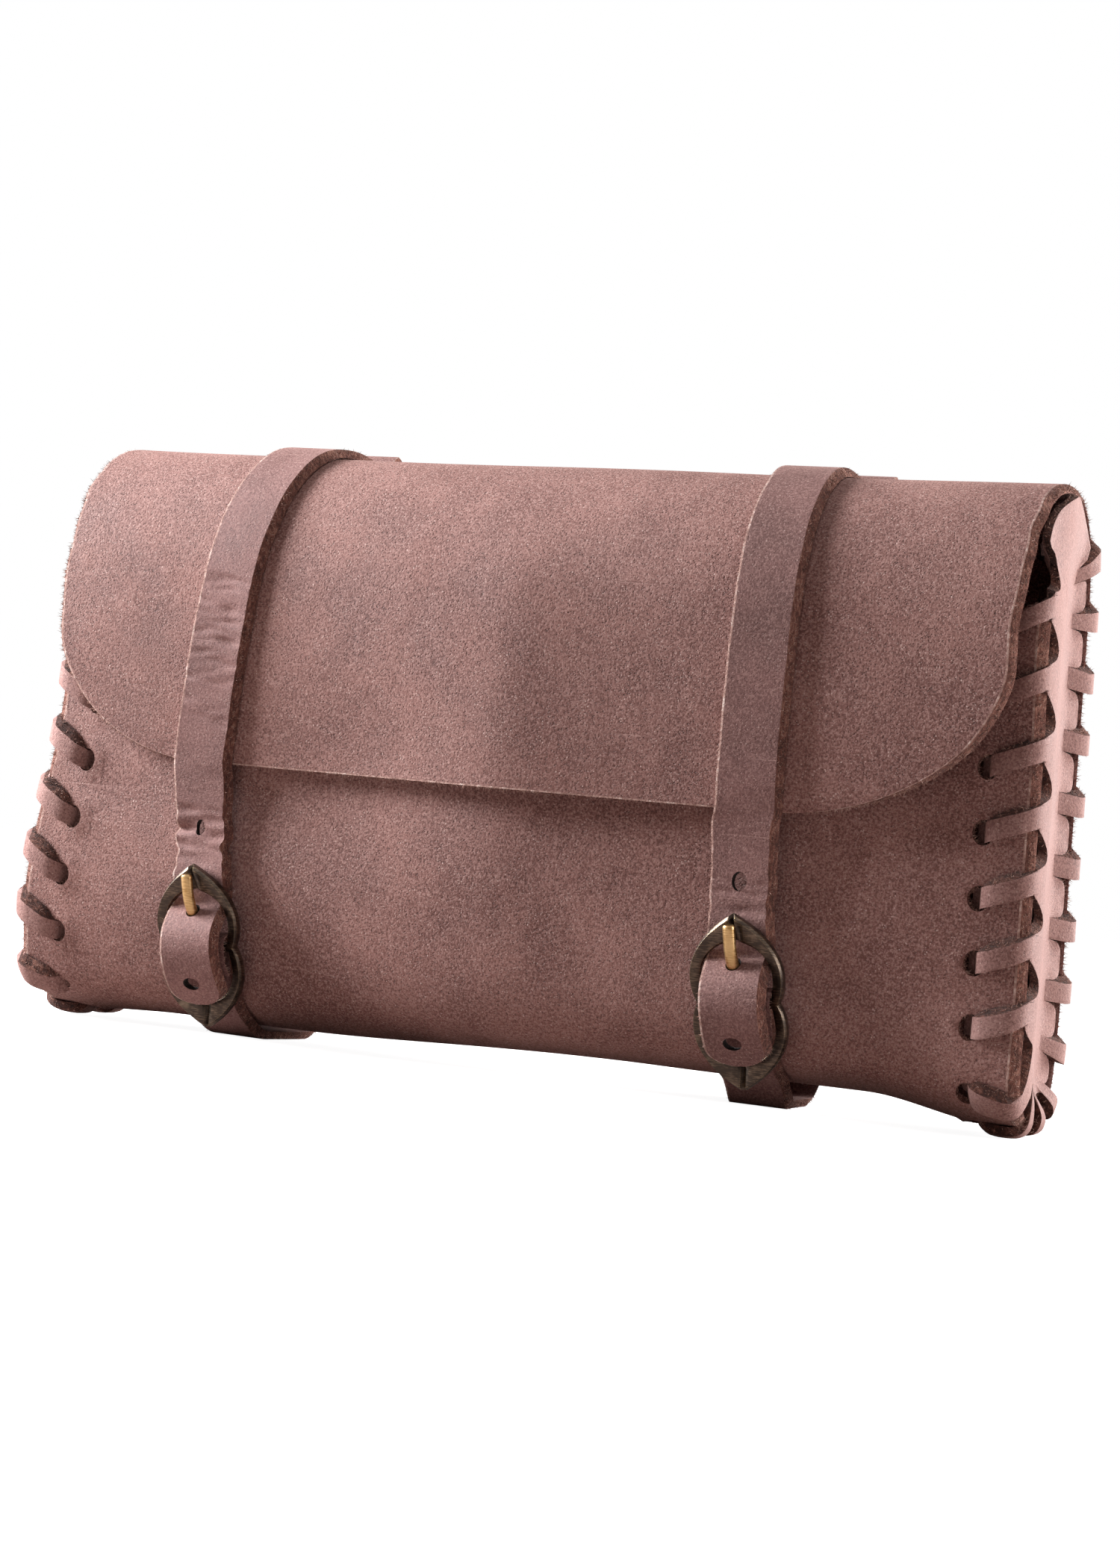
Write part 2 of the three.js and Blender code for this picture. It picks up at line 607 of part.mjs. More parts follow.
const bag = new THREE.Group();
bag.add(named('body_panel', bodyPanel(), LEATHER));
bag.add(named('gusset_left', gusset(-1), LEATHER));
bag.add(named('gusset_right', gusset(1), LEATHER));
for (const strap of STRAPS) {
  const frame = buckleFrame(strap);
  bag.add(named(`strap_${strap.side}`, strapGeometry(strap, frame), STRAP_LEATHER));
  bag.add(named(`buckle_${strap.side}`, buckleGeometry(frame), BRASS));
  bag.add(named(`prong_${strap.side}`, prongGeometry(frame), BRASS));
  bag.add(named(`belt_loop_${strap.side}`, beltLoopGeometry(strap), STRAP_LEATHER));
}

// The origin is on the floor under the middle of the bag's bounding box.
const box = new THREE.Box3().setFromObject(bag);
const middle = box.getCenter(new THREE.Vector3());
bag.position.set(-middle.x, -middle.y, -box.min.z);

export default bag;
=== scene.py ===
# %% [markdown]
# # A belt bag of laced leather
# One strip of thick leather makes the front, the bottom, the back, the top and the flap of this bag.
# Each end is closed by a gusset whose border is cut into fingers, and the fingers are laced through
# holes in the strip. Two straps with cast buckles hold the flap shut. The lesson rebuilds each piece
# over the fixed solids of the frame, where its solid already is.

# %% Load the frame
import math

import bpy
import numpy as np
from mathutils import Matrix, Vector


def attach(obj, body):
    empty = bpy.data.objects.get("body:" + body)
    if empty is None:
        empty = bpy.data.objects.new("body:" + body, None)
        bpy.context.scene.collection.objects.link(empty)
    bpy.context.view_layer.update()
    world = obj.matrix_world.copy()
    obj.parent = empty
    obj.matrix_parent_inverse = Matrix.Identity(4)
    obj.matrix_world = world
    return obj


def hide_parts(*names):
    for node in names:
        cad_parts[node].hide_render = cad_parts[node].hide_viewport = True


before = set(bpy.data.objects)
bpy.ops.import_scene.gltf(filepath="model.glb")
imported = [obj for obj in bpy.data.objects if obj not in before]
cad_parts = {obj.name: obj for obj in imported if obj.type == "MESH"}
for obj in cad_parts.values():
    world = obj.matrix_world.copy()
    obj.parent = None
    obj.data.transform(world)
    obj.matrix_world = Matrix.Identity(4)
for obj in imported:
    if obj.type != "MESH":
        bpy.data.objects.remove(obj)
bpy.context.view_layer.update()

# %% [markdown]
# ## Measures
# The pieces are drawn in millimetres about the middle of the bag's depth, because that is how a maker
# would lay out the pattern. The frame is in metres and its origin lies under the middle of the whole
# box, so one small function carries drawn points into the frame.

# %% From drawn millimetres to the frame
MM = 0.001
MID_DEPTH = -1.538          # the drawn mid-depth line lies this far in front of the frame's origin


def to_frame(points):
    """Drawn points in millimetres as frame points in metres."""
    return (np.asarray(points, float) + (0.0, MID_DEPTH, 0.0)) * MM


def smoothstep(value, low, high):
    share = np.clip((np.asarray(value, float) - low) / (high - low), 0.0, 1.0)
    return share * share * (3 - 2 * share)


def unit(vectors):
    vectors = np.asarray(vectors, float)
    return vectors / np.linalg.norm(vectors, axis=-1, keepdims=True)


# %% [markdown]
# ## The section of the strip
# Seen from the side the strip is a closed-looking spiral: it starts at the mouth of the front panel,
# goes down, under, up the back, over the top and ends at the edge of the flap. A few rows name the
# places along it, and a smooth curve runs through them. `pull` says how far the side edges lie inside
# the middle, so that the panels are slightly crowned.

# %% Rows of the section
SECTION_ROWS = (
    # place, y, z, pull
    ("front_top", -27.0, 125.0, 0.6),
    ("front_high", -29.0, 100.0, 1.4),
    ("front_mid", -30.0, 70.0, 2.0),
    ("belly", -29.8, 45.0, 1.8),
    ("front_low", -27.4, 26.0, 0.8),
    ("turn_front", -21.5, 10.5, -0.8),
    ("under_front", -10.0, 2.9, 0.4),
    ("under_mid", 0.0, 2.8, 0.5),
    ("under_back", 11.0, 3.0, 0.4),
    ("turn_back", 22.5, 9.5, -0.4),
    ("back_low", 28.2, 24.0, 0.6),
    ("back_mid", 29.5, 70.0, 1.0),
    ("back_high", 29.3, 120.0, 0.6),
    ("back_top", 28.4, 140.0, 0.4),
    ("turn_top", 24.2, 152.0, 0.0),
    ("ridge_back", 13.5, 159.0, -0.3),
    ("ridge", 0.0, 160.6, -0.6),
    ("ridge_front", -14.5, 157.2, -0.4),
    ("fold_front", -26.3, 146.6, 0.0),
    ("flap_high", -32.4, 131.0, 0.2),
    ("flap_corner", -34.6, 104.0, 0.4),
    ("flap_edge", -33.4, 72.8, 0.8),
)
ROW = {row[0]: number for number, row in enumerate(SECTION_ROWS)}
SECTION = np.array([row[1:] for row in SECTION_ROWS])
LAST = len(SECTION) - 1
print("section rows", len(SECTION))

# %% [markdown]
# The rows lie at uneven distances, and a plain spline would swing out between them. This one takes the
# distances into account, so it stays close to the rows. Holes and rows of points are set out along the
# leather with a tape, so the length from the mouth to every place is measured here as well.

# %% A curve through points and its length
def through(points, places):
    """A smooth curve through the points, read at fractional point numbers."""
    points = np.asarray(points, float)
    places = np.clip(np.asarray(places, float), 0, len(points) - 1)
    padded = np.vstack([2 * points[0] - points[1], points, 2 * points[-1] - points[-2]])
    start = np.minimum(np.floor(places).astype(int), len(points) - 2)
    t = (places - start)[:, None]
    p0, p1, p2, p3 = (padded[start + k] for k in range(4))
    d0, d1, d2 = (np.sqrt(np.linalg.norm(b - a, axis=1, keepdims=True))
                  for a, b in ((p0, p1), (p1, p2), (p2, p3)))
    m1 = ((p1 - p0) / d0 - (p2 - p0) / (d0 + d1) + (p2 - p1) / d1) * d1
    m2 = ((p2 - p1) / d1 - (p3 - p1) / (d1 + d2) + (p3 - p2) / d2) * d1
    return (p1 + m1 * t + (3 * (p2 - p1) - 2 * m1 - m2) * t**2
            + (2 * (p1 - p2) + m1 + m2) * t**3)


def even_path(points, spacing):
    """The curve through the points as points an even distance apart."""
    fine = through(points, np.linspace(0, len(points) - 1, 60 * len(points)))
    length = np.concatenate([[0], np.cumsum(np.linalg.norm(np.diff(fine, axis=0), axis=1))])
    wanted = np.linspace(0, length[-1], int(length[-1] / spacing) + 1)
    return np.stack([np.interp(wanted, length, fine[:, k]) for k in range(fine.shape[1])], axis=1)


LENGTH_U = np.linspace(0, LAST, 4001)
LENGTH_AT = np.concatenate([[0], np.cumsum(np.linalg.norm(
    np.diff(through(SECTION, LENGTH_U)[:, :2], axis=0), axis=1))])
print("strip length along its section", round(float(LENGTH_AT[-1]), 1), "mm")


def place_at(distance):
    """The place along the strip that lies a distance from the mouth, measured on the leather."""
    return np.interp(distance, LENGTH_AT, LENGTH_U)


# %% [markdown]
# The strip is a little narrower towards the top, and its lower left end has spread. The flap has its own
# widths and two rounded lower corners, and the hand-held knife left its edge slightly wavy.

# %% The strip's side edges
HALF_WIDTH_BASE, WIDTH_TAPER = 135.5, 0.023
FLAP_LEFT, FLAP_RIGHT = 134.6, 129.0
FLAP_EDGE_Z, FLAP_CORNER_Z = 72.8, 112.0
CORNER_LEFT, CORNER_RIGHT = 47.0, 57.0
FLAP_TAPER, TAPER_HEIGHTS = 1.3, (118, 150)     # the flap's right edge runs in towards its corner
EDGE_WAVE = 0.16
LEFT_FLARE, FLARE_HEIGHTS, FLARE_FOOT = 5.0, (30, 85), (2, 16)     # the lower left end has spread


def half_width(side, z):
    """Distance from the middle to the strip's edge on one side, flap left out."""
    flare = LEFT_FLARE * (1 - smoothstep(z, *FLARE_HEIGHTS)) * (0.4 + 0.6 * smoothstep(z, *FLARE_FOOT))
    return HALF_WIDTH_BASE - WIDTH_TAPER * z + flare * (side < 0)


def strip_edges(u, z):
    """Distance from the middle to the strip's left and right edge."""
    share = smoothstep(u, ROW["ridge"] - 1, ROW["ridge"] + 2)
    drop = np.clip((FLAP_CORNER_Z - z) / (FLAP_CORNER_Z - FLAP_EDGE_Z), 0, 1) * (u > ROW["flap_high"])
    corner = 1 - np.sqrt(np.maximum(0, 1 - drop**2))
    body_left, body_right = half_width(-1, z), half_width(1, z)
    wavy = EDGE_WAVE * share * (np.sin(5.3 * u) + np.sin(9.1 * u + 1))
    left = body_left + (FLAP_LEFT - body_left) * share - CORNER_LEFT * corner + wavy
    right = body_right + (FLAP_RIGHT - body_right) * share - CORNER_RIGHT * corner - wavy
    right -= FLAP_TAPER * (1 - smoothstep(z, *TAPER_HEIGHTS)) * (u > ROW["ridge"])
    return left, right


print("half widths at the base", half_width(-1, 0), half_width(1, 0))

# %% [markdown]
# The front bulges to a soft crest down its middle, the lacing pulls its ends back and the bottom bows up
# between them. Shallow dents and one bulge (a dent of negative depth) show where the leather gave way.
# `panel` gathers all of this: it is the one place that says where the leather's outer face is, and every
# later piece asks it.

# %% The strip's outer face
BOTTOM_RISE, RISE_ENDS = 1.3, (96, 129)         # the bottom bows up between the two ends
RIGHT_RISE, RISE_SPAN = 3.0, (-60, 40)          # and further in its right half
END_PULL, PULL_LEFT, PULL_RIGHT = 2.8, 0.1, 1.8     # the lacing pulls the front's ends back
FLAT_LEFT = 0.7             # share of the section's pull that the front's left end has lost
SLACK = 0.35                # height of the slow waves all over the leather
DENTS = (
    # place, x, depth, wide, tall
    ("front_mid", -45.0, 1.6, 26.0, 18.0),
    ("belly", 20.0, 1.0, 40.0, 20.0),
    ("flap_edge", 0.0, -1.0, 40.0, 36.0),
)
CREST_X, CREST_HEIGHT, CREST_RUN = 0.5, 3.6, 46.0     # the bag bulges to a soft crest down its middle
CREST_ROUND, CREST_ON_FRONT = 6.0, 0.7


def pillow(u):
    """How far the lacing pulls the ends of the front panel back."""
    low = smoothstep(u, ROW["front_low"] - 0.5, ROW["turn_front"])
    return END_PULL * smoothstep(u, 0.2, 1.4) * (1 - low)


def section_at(u):
    """Mid-width point, pull and outward direction of the strip at the places u."""
    here = through(SECTION, u)
    step = 1e-3
    ahead = through(SECTION, np.minimum(u + step, LAST))
    behind = through(SECTION, np.maximum(u - step, 0))
    along = unit((ahead - behind)[:, :2])
    return here, np.stack([along[:, 1], -along[:, 0]], axis=1)


def panel(u, x, lift=0.0):
    """Points of the strip's outer face, lift millimetres out of it."""
    u, x, lift = np.broadcast_arrays(*(np.asarray(a, float) for a in (u, x, lift)))
    shape = u.shape
    u, x, lift = u.ravel(), x.ravel(), lift.ravel()
    here, out = section_at(u)
    left, right = strip_edges(u, here[:, 1])
    side = np.clip(np.where(x < 0, -x / left, x / right), 0, 1.2)
    flat_left = FLAT_LEFT * (x < 0) * (1 - smoothstep(u, ROW["front_low"], ROW["turn_front"]))
    inward = here[:, 2] * side**4 * (1 - flat_left)
    inward += pillow(u) * side**2.5 * np.where(x < 0, PULL_LEFT, PULL_RIGHT)
    crest = CREST_HEIGHT * np.exp((CREST_ROUND - np.hypot(x - CREST_X, CREST_ROUND)) / CREST_RUN)
    on_front = 1 - smoothstep(u, ROW["front_low"], ROW["under_front"])
    inward -= crest * (CREST_ON_FRONT * on_front + smoothstep(u, ROW["ridge_front"], ROW["flap_corner"]))
    under = smoothstep(u, ROW["front_low"], ROW["under_front"])
    under *= 1 - smoothstep(u, ROW["under_back"], ROW["back_low"])
    rise = BOTTOM_RISE + RIGHT_RISE * smoothstep(x, *RISE_SPAN)
    inward += rise * under * (1 - smoothstep(np.abs(x), *RISE_ENDS))
    for place, dent_x, depth, wide, tall in DENTS:
        away = np.linalg.norm(here[:, :2] - SECTION[ROW[place], :2], axis=1) / tall
        inward += depth * np.exp(-((x - dent_x) / wide) ** 2 - away**2)
    slack = np.sin(x / 31 + 0.8 * u) * np.sin(x / 47 - 1.9 * u + 1.3)
    inward -= SLACK * slack * np.clip(1 - side**4, 0, 1)
    moved = here[:, :2] + out * (lift - inward)[:, None]
    return np.column_stack([x, moved]).reshape(shape + (3,))


print("middle of the front", panel(ROW["front_mid"], 0.0).round(1))

# %% [markdown]
# ## Where the lacing goes
# Twenty holes on each side are punched an even distance apart, from just below the mouth round to the
# top of the back. They are worked out once, because both the holes and the fingers need them.

# %% Hole places
HOLE_COUNT = 20
HOLE_INSET = 10.2
FIRST_HOLE_Z, LAST_HOLE_Z = 120.5, 149.0
LEFT_HOLES_LOWER = 2.2      # at the left the front's holes sit a little lower
strip_heights = through(SECTION, LENGTH_U)[:, 1]
first_hole = LENGTH_AT[np.argmax(strip_heights <= FIRST_HOLE_Z)]
last_hole = LENGTH_AT[np.argmax((LENGTH_U > ROW["back_low"]) & (strip_heights >= LAST_HOLE_Z))]
even_holes = np.linspace(first_hole, last_hole, HOLE_COUNT)
front_share = 1 - smoothstep(np.arange(HOLE_COUNT), 6, 10)
HOLES = {1: even_holes, -1: even_holes + LEFT_HOLES_LOWER * front_share}
print("holes every", round(float(even_holes[1] - even_holes[0]), 2), "mm")

# %% [markdown]
# ## The camera
# The photograph was taken from the front right, close to the height of the table, with the bag turned
# slightly in the picture. Focal length, distance and roll were worked out from the bag's own edges.

# %% Camera at the photograph's angle
CAMERA_TARGET = (3.17, 0.0, 76.6)
CAMERA_DISTANCE = 697.0
CAMERA_AZIMUTH, CAMERA_ELEVATION, CAMERA_ROLL = 22.69, -2.12, 5.9
CAMERA_LENS = 60.44

azimuth, elevation, roll = (math.radians(a) for a in (CAMERA_AZIMUTH, CAMERA_ELEVATION, CAMERA_ROLL))
back = Vector((math.sin(azimuth) * math.cos(elevation),
               -math.cos(azimuth) * math.cos(elevation), math.sin(elevation)))
level = (-back).cross(Vector((0, 0, 1))).normalized()
upright = level.cross(-back)
right = math.cos(roll) * level + math.sin(roll) * upright
up = -math.sin(roll) * level + math.cos(roll) * upright
bpy.ops.object.camera_add()
camera = bpy.context.object
camera.name = "camera"
camera.data.lens = CAMERA_LENS
camera.data.sensor_width = 36.0
camera.data.clip_start, camera.data.clip_end = 0.01, 50.0
spot = Vector(to_frame(CAMERA_TARGET)) + back * CAMERA_DISTANCE * MM
camera.matrix_world = Matrix.Translation(spot) @ Matrix((right, up, back)).transposed().to_4x4()
bpy.context.scene.camera = camera
print("camera at", [round(c, 3) for c in spot])

# %% [markdown]
# ## Finishes
# Shader maths reads best as plain expressions. A `Value` wraps one socket and lets `+`, `-` and `*` add
# Math nodes.

# %% Values of a shader
class Value:
    """An output socket of a finish. Arithmetic on values adds Math nodes."""

    def __init__(self, finish, socket):
        self.finish = finish
        self.socket = socket

    def maths(self, operation, first, second):
        return self.finish.node("ShaderNodeMath", {"operation": operation}, {0: first, 1: second})

    def __add__(self, other):
        return self.maths("ADD", self, other)

    def __radd__(self, other):
        return self.maths("ADD", other, self)

    def __sub__(self, other):
        return self.maths("SUBTRACT", self, other)

    def __mul__(self, other):
        return self.maths("MULTIPLY", self, other)

    def __rmul__(self, other):
        return self.maths("MULTIPLY", other, self)


# %% [markdown]
# A `Finish` is one material. Its method `node` adds any node, and the methods after it are the few nodes
# that every finish of this bag needs: patterns, ranges, mixes and bump.

# %% A finish made of nodes
class Finish:
    """A material built from nodes."""

    def __init__(self, name):
        self.material = bpy.data.materials.new(name)
        self.material.use_nodes = True
        self.tree = self.material.node_tree
        self.shader = self.tree.nodes["Principled BSDF"]

    def node(self, kind, settings=None, sockets=None, output=0):
        """Adds a node: its settings first, then the values or links of its sockets."""
        node = self.tree.nodes.new(kind)
        for name, value in (settings or {}).items():
            if name == "stops":
                ramp = node.color_ramp.elements
                while len(ramp) < len(value):
                    ramp.new(1.0)
                for element, (position, colour) in zip(ramp, value):
                    element.position = position
                    element.color = colour
            else:
                setattr(node, name, value)
        for name, value in (sockets or {}).items():
            if isinstance(value, Value):
                self.tree.links.new(value.socket, node.inputs[name])
            else:
                node.inputs[name].default_value = value
        return Value(self, node.outputs[output])

    def place(self, stretch=(1, 1, 1), turn=(0, 0, 0)):
        """The piece's own coordinates, stretched and turned for a pattern."""
        own = self.node("ShaderNodeTexCoord", output="Object")
        return self.node("ShaderNodeMapping", None, {"Vector": own, "Scale": stretch, "Rotation": turn})

    def noise(self, place, scale, detail=3.0, roughness=0.55):
        return self.node("ShaderNodeTexNoise", None,
                         {"Vector": place, "Scale": scale, "Detail": detail, "Roughness": roughness})

    def spots(self, place, scale, output="Distance"):
        return self.node("ShaderNodeTexVoronoi", None, {"Vector": place, "Scale": scale}, output)

    def between(self, value, low, high, start=0.0, end=1.0):
        """The value carried smoothly from start to end as it goes from low to high."""
        return self.node("ShaderNodeMapRange", {"interpolation_type": "SMOOTHSTEP"},
                         {"Value": value, "From Min": low, "From Max": high,
                          "To Min": start, "To Max": end})

    def mix(self, share, first, second):
        """Two colours mixed by a share."""
        return self.node("ShaderNodeMix", {"data_type": "RGBA"}, {0: share, 6: first, 7: second}, 2)

    def bump(self, height, strength, distance, under=None):
        sockets = {"Height": height, "Strength": strength, "Distance": distance}
        if under is not None:
            sockets["Normal"] = under
        return self.node("ShaderNodeBump", None, sockets)

    def shade(self, **sockets):
        """Sets or links the shader's own sockets; names use _ for spaces."""
        for name, value in sockets.items():
            socket = self.shader.inputs[name.replace("_", " ")]
            if isinstance(value, Value):
                self.tree.links.new(value.socket, socket)
            else:
                socket.default_value = value
        return self.material


def tone(code):
    """A colour from its six hexadecimal digits, in the linear values that shaders use."""
    parts = [int(code[k:k + 2], 16) / 255 for k in (0, 2, 4)]
    return tuple(p / 12.92 if p <= 0.04045 else ((p + 0.055) / 1.055) ** 2.4 for p in parts) + (1.0,)


# %% [markdown]
# ### Leather
# The leather is an oiled mauve-brown hide with its grain lightly sanded, so it is matt and cloudy. Big
# soft noise makes the clouds, a fine cell pattern makes the pores, sparse bright cells make light
# specks, and the same pores press into the surface as bump. A sheen stands for the short nap.

# %% The leather finish
def leather(name, dark, light, pore_depth, grain, gloss=0.35):
    """Grain side of the hide."""
    f = Finish(name)
    place = f.place()
    cloud = f.noise(place, 24.0, 4.0, 0.62)
    blotch = f.noise(place, 55.0, 4.0, 0.55)
    fine = f.noise(place, 1650.0, 3.0, 0.78)
    tint = f.between(cloud * 0.45 + blotch * 0.55, 0.34, 0.66)
    colour = f.mix(tint, tone(dark), tone(light))
    pores = f.spots(f.place((0.75, 1.0, 1.2)), 1500.0)
    pore = f.between(pores, 0.08, 0.34, 1.0, 0.0)
    clear = f.between(f.noise(place, 70.0, 3.0), 0.36, 0.64)
    colour = f.mix(pore * (0.45 + 0.3 * clear) * pore_depth, colour, tone("2c1916"))
    colour = f.mix(f.between(fine, 0.44, 0.64) * 0.62 * grain, colour, tone("b8958e"))
    colour = f.mix(f.between(fine, 0.5, 0.34) * 0.56 * grain, colour, tone("4a2f2b"))
    cell = f.spots(place, 1500.0, "Color")
    speck_at = f.spots(place, 1500.0)
    speck = f.between(cell, 0.66, 0.85) * f.between(speck_at, 0.1, 0.38, 1.0, 0.0)
    colour = f.mix(speck * 0.7 * grain, colour, tone("dcc2ba"))
    lines = f.noise(f.place((26.0, 200.0, 1300.0), (0.0, 0.06, 0.0)), 1.0, 2.0, 0.5)
    scratch = f.between(lines, 0.66, 0.74) * f.between(cloud, 0.42, 0.6)
    colour = f.mix(scratch * 0.3, colour, tone("b8948c"))
    height = fine * 0.6 - pore * pore_depth * 0.8 + blotch * 0.5 - scratch * 0.3
    crease = f.noise(place, 190.0, 5.0, 0.65)
    under = f.bump(crease, 0.24 * grain, 0.0011)
    normal = f.bump(height, 0.6 * grain, 0.0005, under)
    rough = f.between(fine * 0.5 + blotch * 0.5, 0.3, 0.7, 0.62, 0.86)
    return f.shade(Base_Color=colour, Roughness=rough, Normal=normal, Specular_IOR_Level=gloss,
                   Sheen_Weight=0.2, Sheen_Roughness=0.45, Sheen_Tint=tone("c8a79f"))


body_leather = leather("body_leather", "6e453e", "946a62", 1.0, 1.0)
gusset_leather = leather("gusset_leather", "7b5751", "9c7973", 0.6, 0.7, 0.2)
strap_leather = leather("strap_leather", "694642", "8a6561", 0.5, 0.6)
# A darker copy of the strap leather for the right strap: painted shade for the bag's darker right half.
shaded_strap = leather("dark_strap_leather", "5f3e3a", "7d5955", 0.5, 0.6)
print("leather finishes", [m.name for m in (body_leather, gusset_leather, strap_leather, shaded_strap)])

# %% [markdown]
# ### Cut edges
# A knife leaves two things: the cut itself, dark and fibrous, and the arris beside it, a thin pale line
# that is partly grain worn pale and partly a painted highlight, the light that catches the edge. Both get
# their own finish, and the modelling tools below hand them out: Solidify marks its rim as cut, the border
# helper gives the outermost faces of the grain side the arris, and Bevel gives it to its new faces. Loose
# fibres, the walls of the straps' holes and the sewing thread are rough in the same way and share the
# recipe; the walls of the holes are painted nearly black, a painted shade for the dark inside of a hole.

# %% Cut and arris finishes
def cut_edge(name, dark, mid, light):
    """Raw fibres across the thickness of the hide."""
    f = Finish(name)
    fibres = f.noise(f.place((1.0, 2.2, 0.8)), 760.0, 6.0, 0.72)
    patch = f.noise(f.place(), 170.0, 3.0, 0.6)
    share = f.between(fibres * 0.7 + patch * 0.3, 0.3, 0.72)
    stops = ((0.0, tone(dark)), (0.5, tone(mid)), (1.0, tone(light)))
    colour = f.node("ShaderNodeValToRGB", {"stops": stops}, {"Fac": share})
    normal = f.bump(fibres, 0.9, 0.0011)
    return f.shade(Base_Color=colour, Roughness=0.92, Normal=normal, Specular_IOR_Level=0.15,
                   Sheen_Weight=0.15, Sheen_Roughness=0.6)


raw_cut = cut_edge("raw_cut", "3b1e17", "7d4d40", "bd8b79")
raw_dark = cut_edge("raw_dark", "28130e", "573126", "9c6a5a")
# The two arris finishes are pale: partly grain worn pale, partly a painted highlight on the edge.
arris = cut_edge("arris", "845e55", "bb958a", "ecd8cf")
soft_arris = cut_edge("soft_arris", "8d665d", "c39c92", "ecd4cc")
fibre = cut_edge("loose_fibre", "8a6053", "bd9384", "ecd2c6")
# The walls of the straps' holes are painted nearly black: a painted shade for the dark inside of a hole.
painted_shade_hole_wall = cut_edge("painted_shade_hole_wall", "0d0605", "1f100d", "3a221c")
thread = cut_edge("waxed_thread", "2c1b16", "4e362e", "7a5c50")
print("edge finishes", [m.name for m in (raw_cut, raw_dark, arris, soft_arris, fibre, painted_shade_hole_wall, thread)])

# %% [markdown]
# ### Brass
# The buckles are cast brass with a dark brown patina, brushed across and rubbed bright along their
# edges. The prongs are bare brass wire.

# %% Brass finishes
def patinated(name, dark, bright, wear, rough_low, rough_high):
    f = Finish(name)
    brush = f.noise(f.place((1.0, 1.0, 9.0), (0.0, 0.25, 0.1)), 420.0, 4.0, 0.6)
    patch = f.noise(f.place(), 260.0, 3.0, 0.6)
    share = f.between(brush * 0.55 + patch * 0.45, wear, wear + 0.22)
    colour = f.mix(share, tone(dark), tone(bright))
    normal = f.bump(brush, 0.18, 0.0002)
    rough = f.between(brush * 0.5 + patch * 0.5, 0.3, 0.7, rough_low, rough_high)
    return f.shade(Base_Color=colour, Metallic=1.0, Roughness=rough, Normal=normal)


antique_brass = patinated("antique_brass", "4b433d", "857565", 0.44, 0.32, 0.46)
rubbed_brass = patinated("rubbed_brass", "c09450", "ffdf9f", 0.32, 0.28, 0.42)
prong_brass = patinated("prong_brass", "ab8550", "ddbd88", 0.36, 0.26, 0.4)
print("brass finishes", antique_brass.name, rubbed_brass.name, prong_brass.name)

# %% [markdown]
# ## Tools for sheets of leather
# Every leather piece starts as a flat grid, as a hide starts flat, and its points are then laid where
# the leather lies. Points are read and set all at once, because a piece has many thousands of them.

# %% Grids and points
def added(name, *finishes):
    """The object that was just added, with its name and finishes."""
    piece = bpy.context.object
    piece.name = piece.data.name = name
    for finish in finishes:
        piece.data.materials.append(finish)
    return piece


def flat_grid(name, across, along, finishes):
    """A flat grid of across by along points, with the column and row number of each point."""
    bpy.ops.mesh.primitive_grid_add(x_subdivisions=across - 1, y_subdivisions=along - 1, size=2.0)
    piece = added(name, *finishes)
    flat = points_of(piece)
    column = np.rint((flat[:, 0] + 1) / 2 * (across - 1)).astype(int)
    row = np.rint((flat[:, 1] + 1) / 2 * (along - 1)).astype(int)
    if len(flat) != across * along:
        raise ValueError(f"{name}: the grid has {len(flat)} points and not {across * along}")
    return piece, column, row


def points_of(piece):
    """The points of a piece, one row each."""
    found = np.empty(3 * len(piece.data.vertices))
    piece.data.vertices.foreach_get("co", found)
    return found.reshape(-1, 3)


def set_points(piece, frame_points):
    """Lays all points of a piece anew."""
    piece.data.vertices.foreach_set("co", np.asarray(frame_points, float).ravel())
    piece.data.update()


# %% [markdown]
# Blender's operators work on what is selected and active. These helpers select a piece, run one step on
# it and return to object mode, so that a later cell reads as a list of steps.

# %% Steps on a piece
OUTWARDS = (bpy.ops.mesh.normals_make_consistent, {"inside": False})


def pick(*pieces):
    """Selects these pieces alone and makes the first one active."""
    bpy.ops.object.select_all(action="DESELECT")
    for piece in pieces:
        piece.select_set(True)
    bpy.context.view_layer.objects.active = pieces[0]


def join(*pieces):
    """Joins the pieces into the first one."""
    pick(*pieces)
    bpy.ops.object.join()


def modifier(piece, kind, **settings):
    """Adds a modifier, sets it and applies it."""
    pick(piece)
    step = piece.modifiers.new(kind.title(), kind)
    for name, value in settings.items():
        setattr(step, name, value)
    bpy.ops.object.modifier_apply(modifier=step.name)


def in_edit_mode(piece, *steps):
    """Selects the whole piece in edit mode and runs mesh operators on it."""
    pick(piece)
    bpy.ops.object.mode_set(mode="EDIT")
    bpy.ops.mesh.select_all(action="SELECT")
    for step, settings in steps:
        step(**settings)
    bpy.ops.object.mode_set(mode="OBJECT")


def extrude():
    """Extrudes what is selected in the active piece; the new points lie on the old ones."""
    bpy.ops.object.mode_set(mode="EDIT")
    bpy.ops.mesh.extrude_region_move(TRANSFORM_OT_translate={"value": (0, 0, 0)})
    bpy.ops.object.mode_set(mode="OBJECT")


def grow(piece, new_points):
    """Extrudes what is selected in the piece and lays the new points."""
    extrude()
    points = points_of(piece)
    points[-len(new_points):] = new_points
    set_points(piece, points)


def face_away(piece, from_points):
    """Turns the sheet over if most of its faces look towards the given points."""
    count = len(piece.data.polygons)
    normal, centre = np.empty(3 * count), np.empty(3 * count)
    piece.data.polygons.foreach_get("normal", normal)
    piece.data.polygons.foreach_get("center", centre)
    away = centre.reshape(-1, 3) - from_points(centre.reshape(-1, 3))
    if (away * normal.reshape(-1, 3)).sum() < 0:
        in_edit_mode(piece, (bpy.ops.mesh.flip_normals, {}))


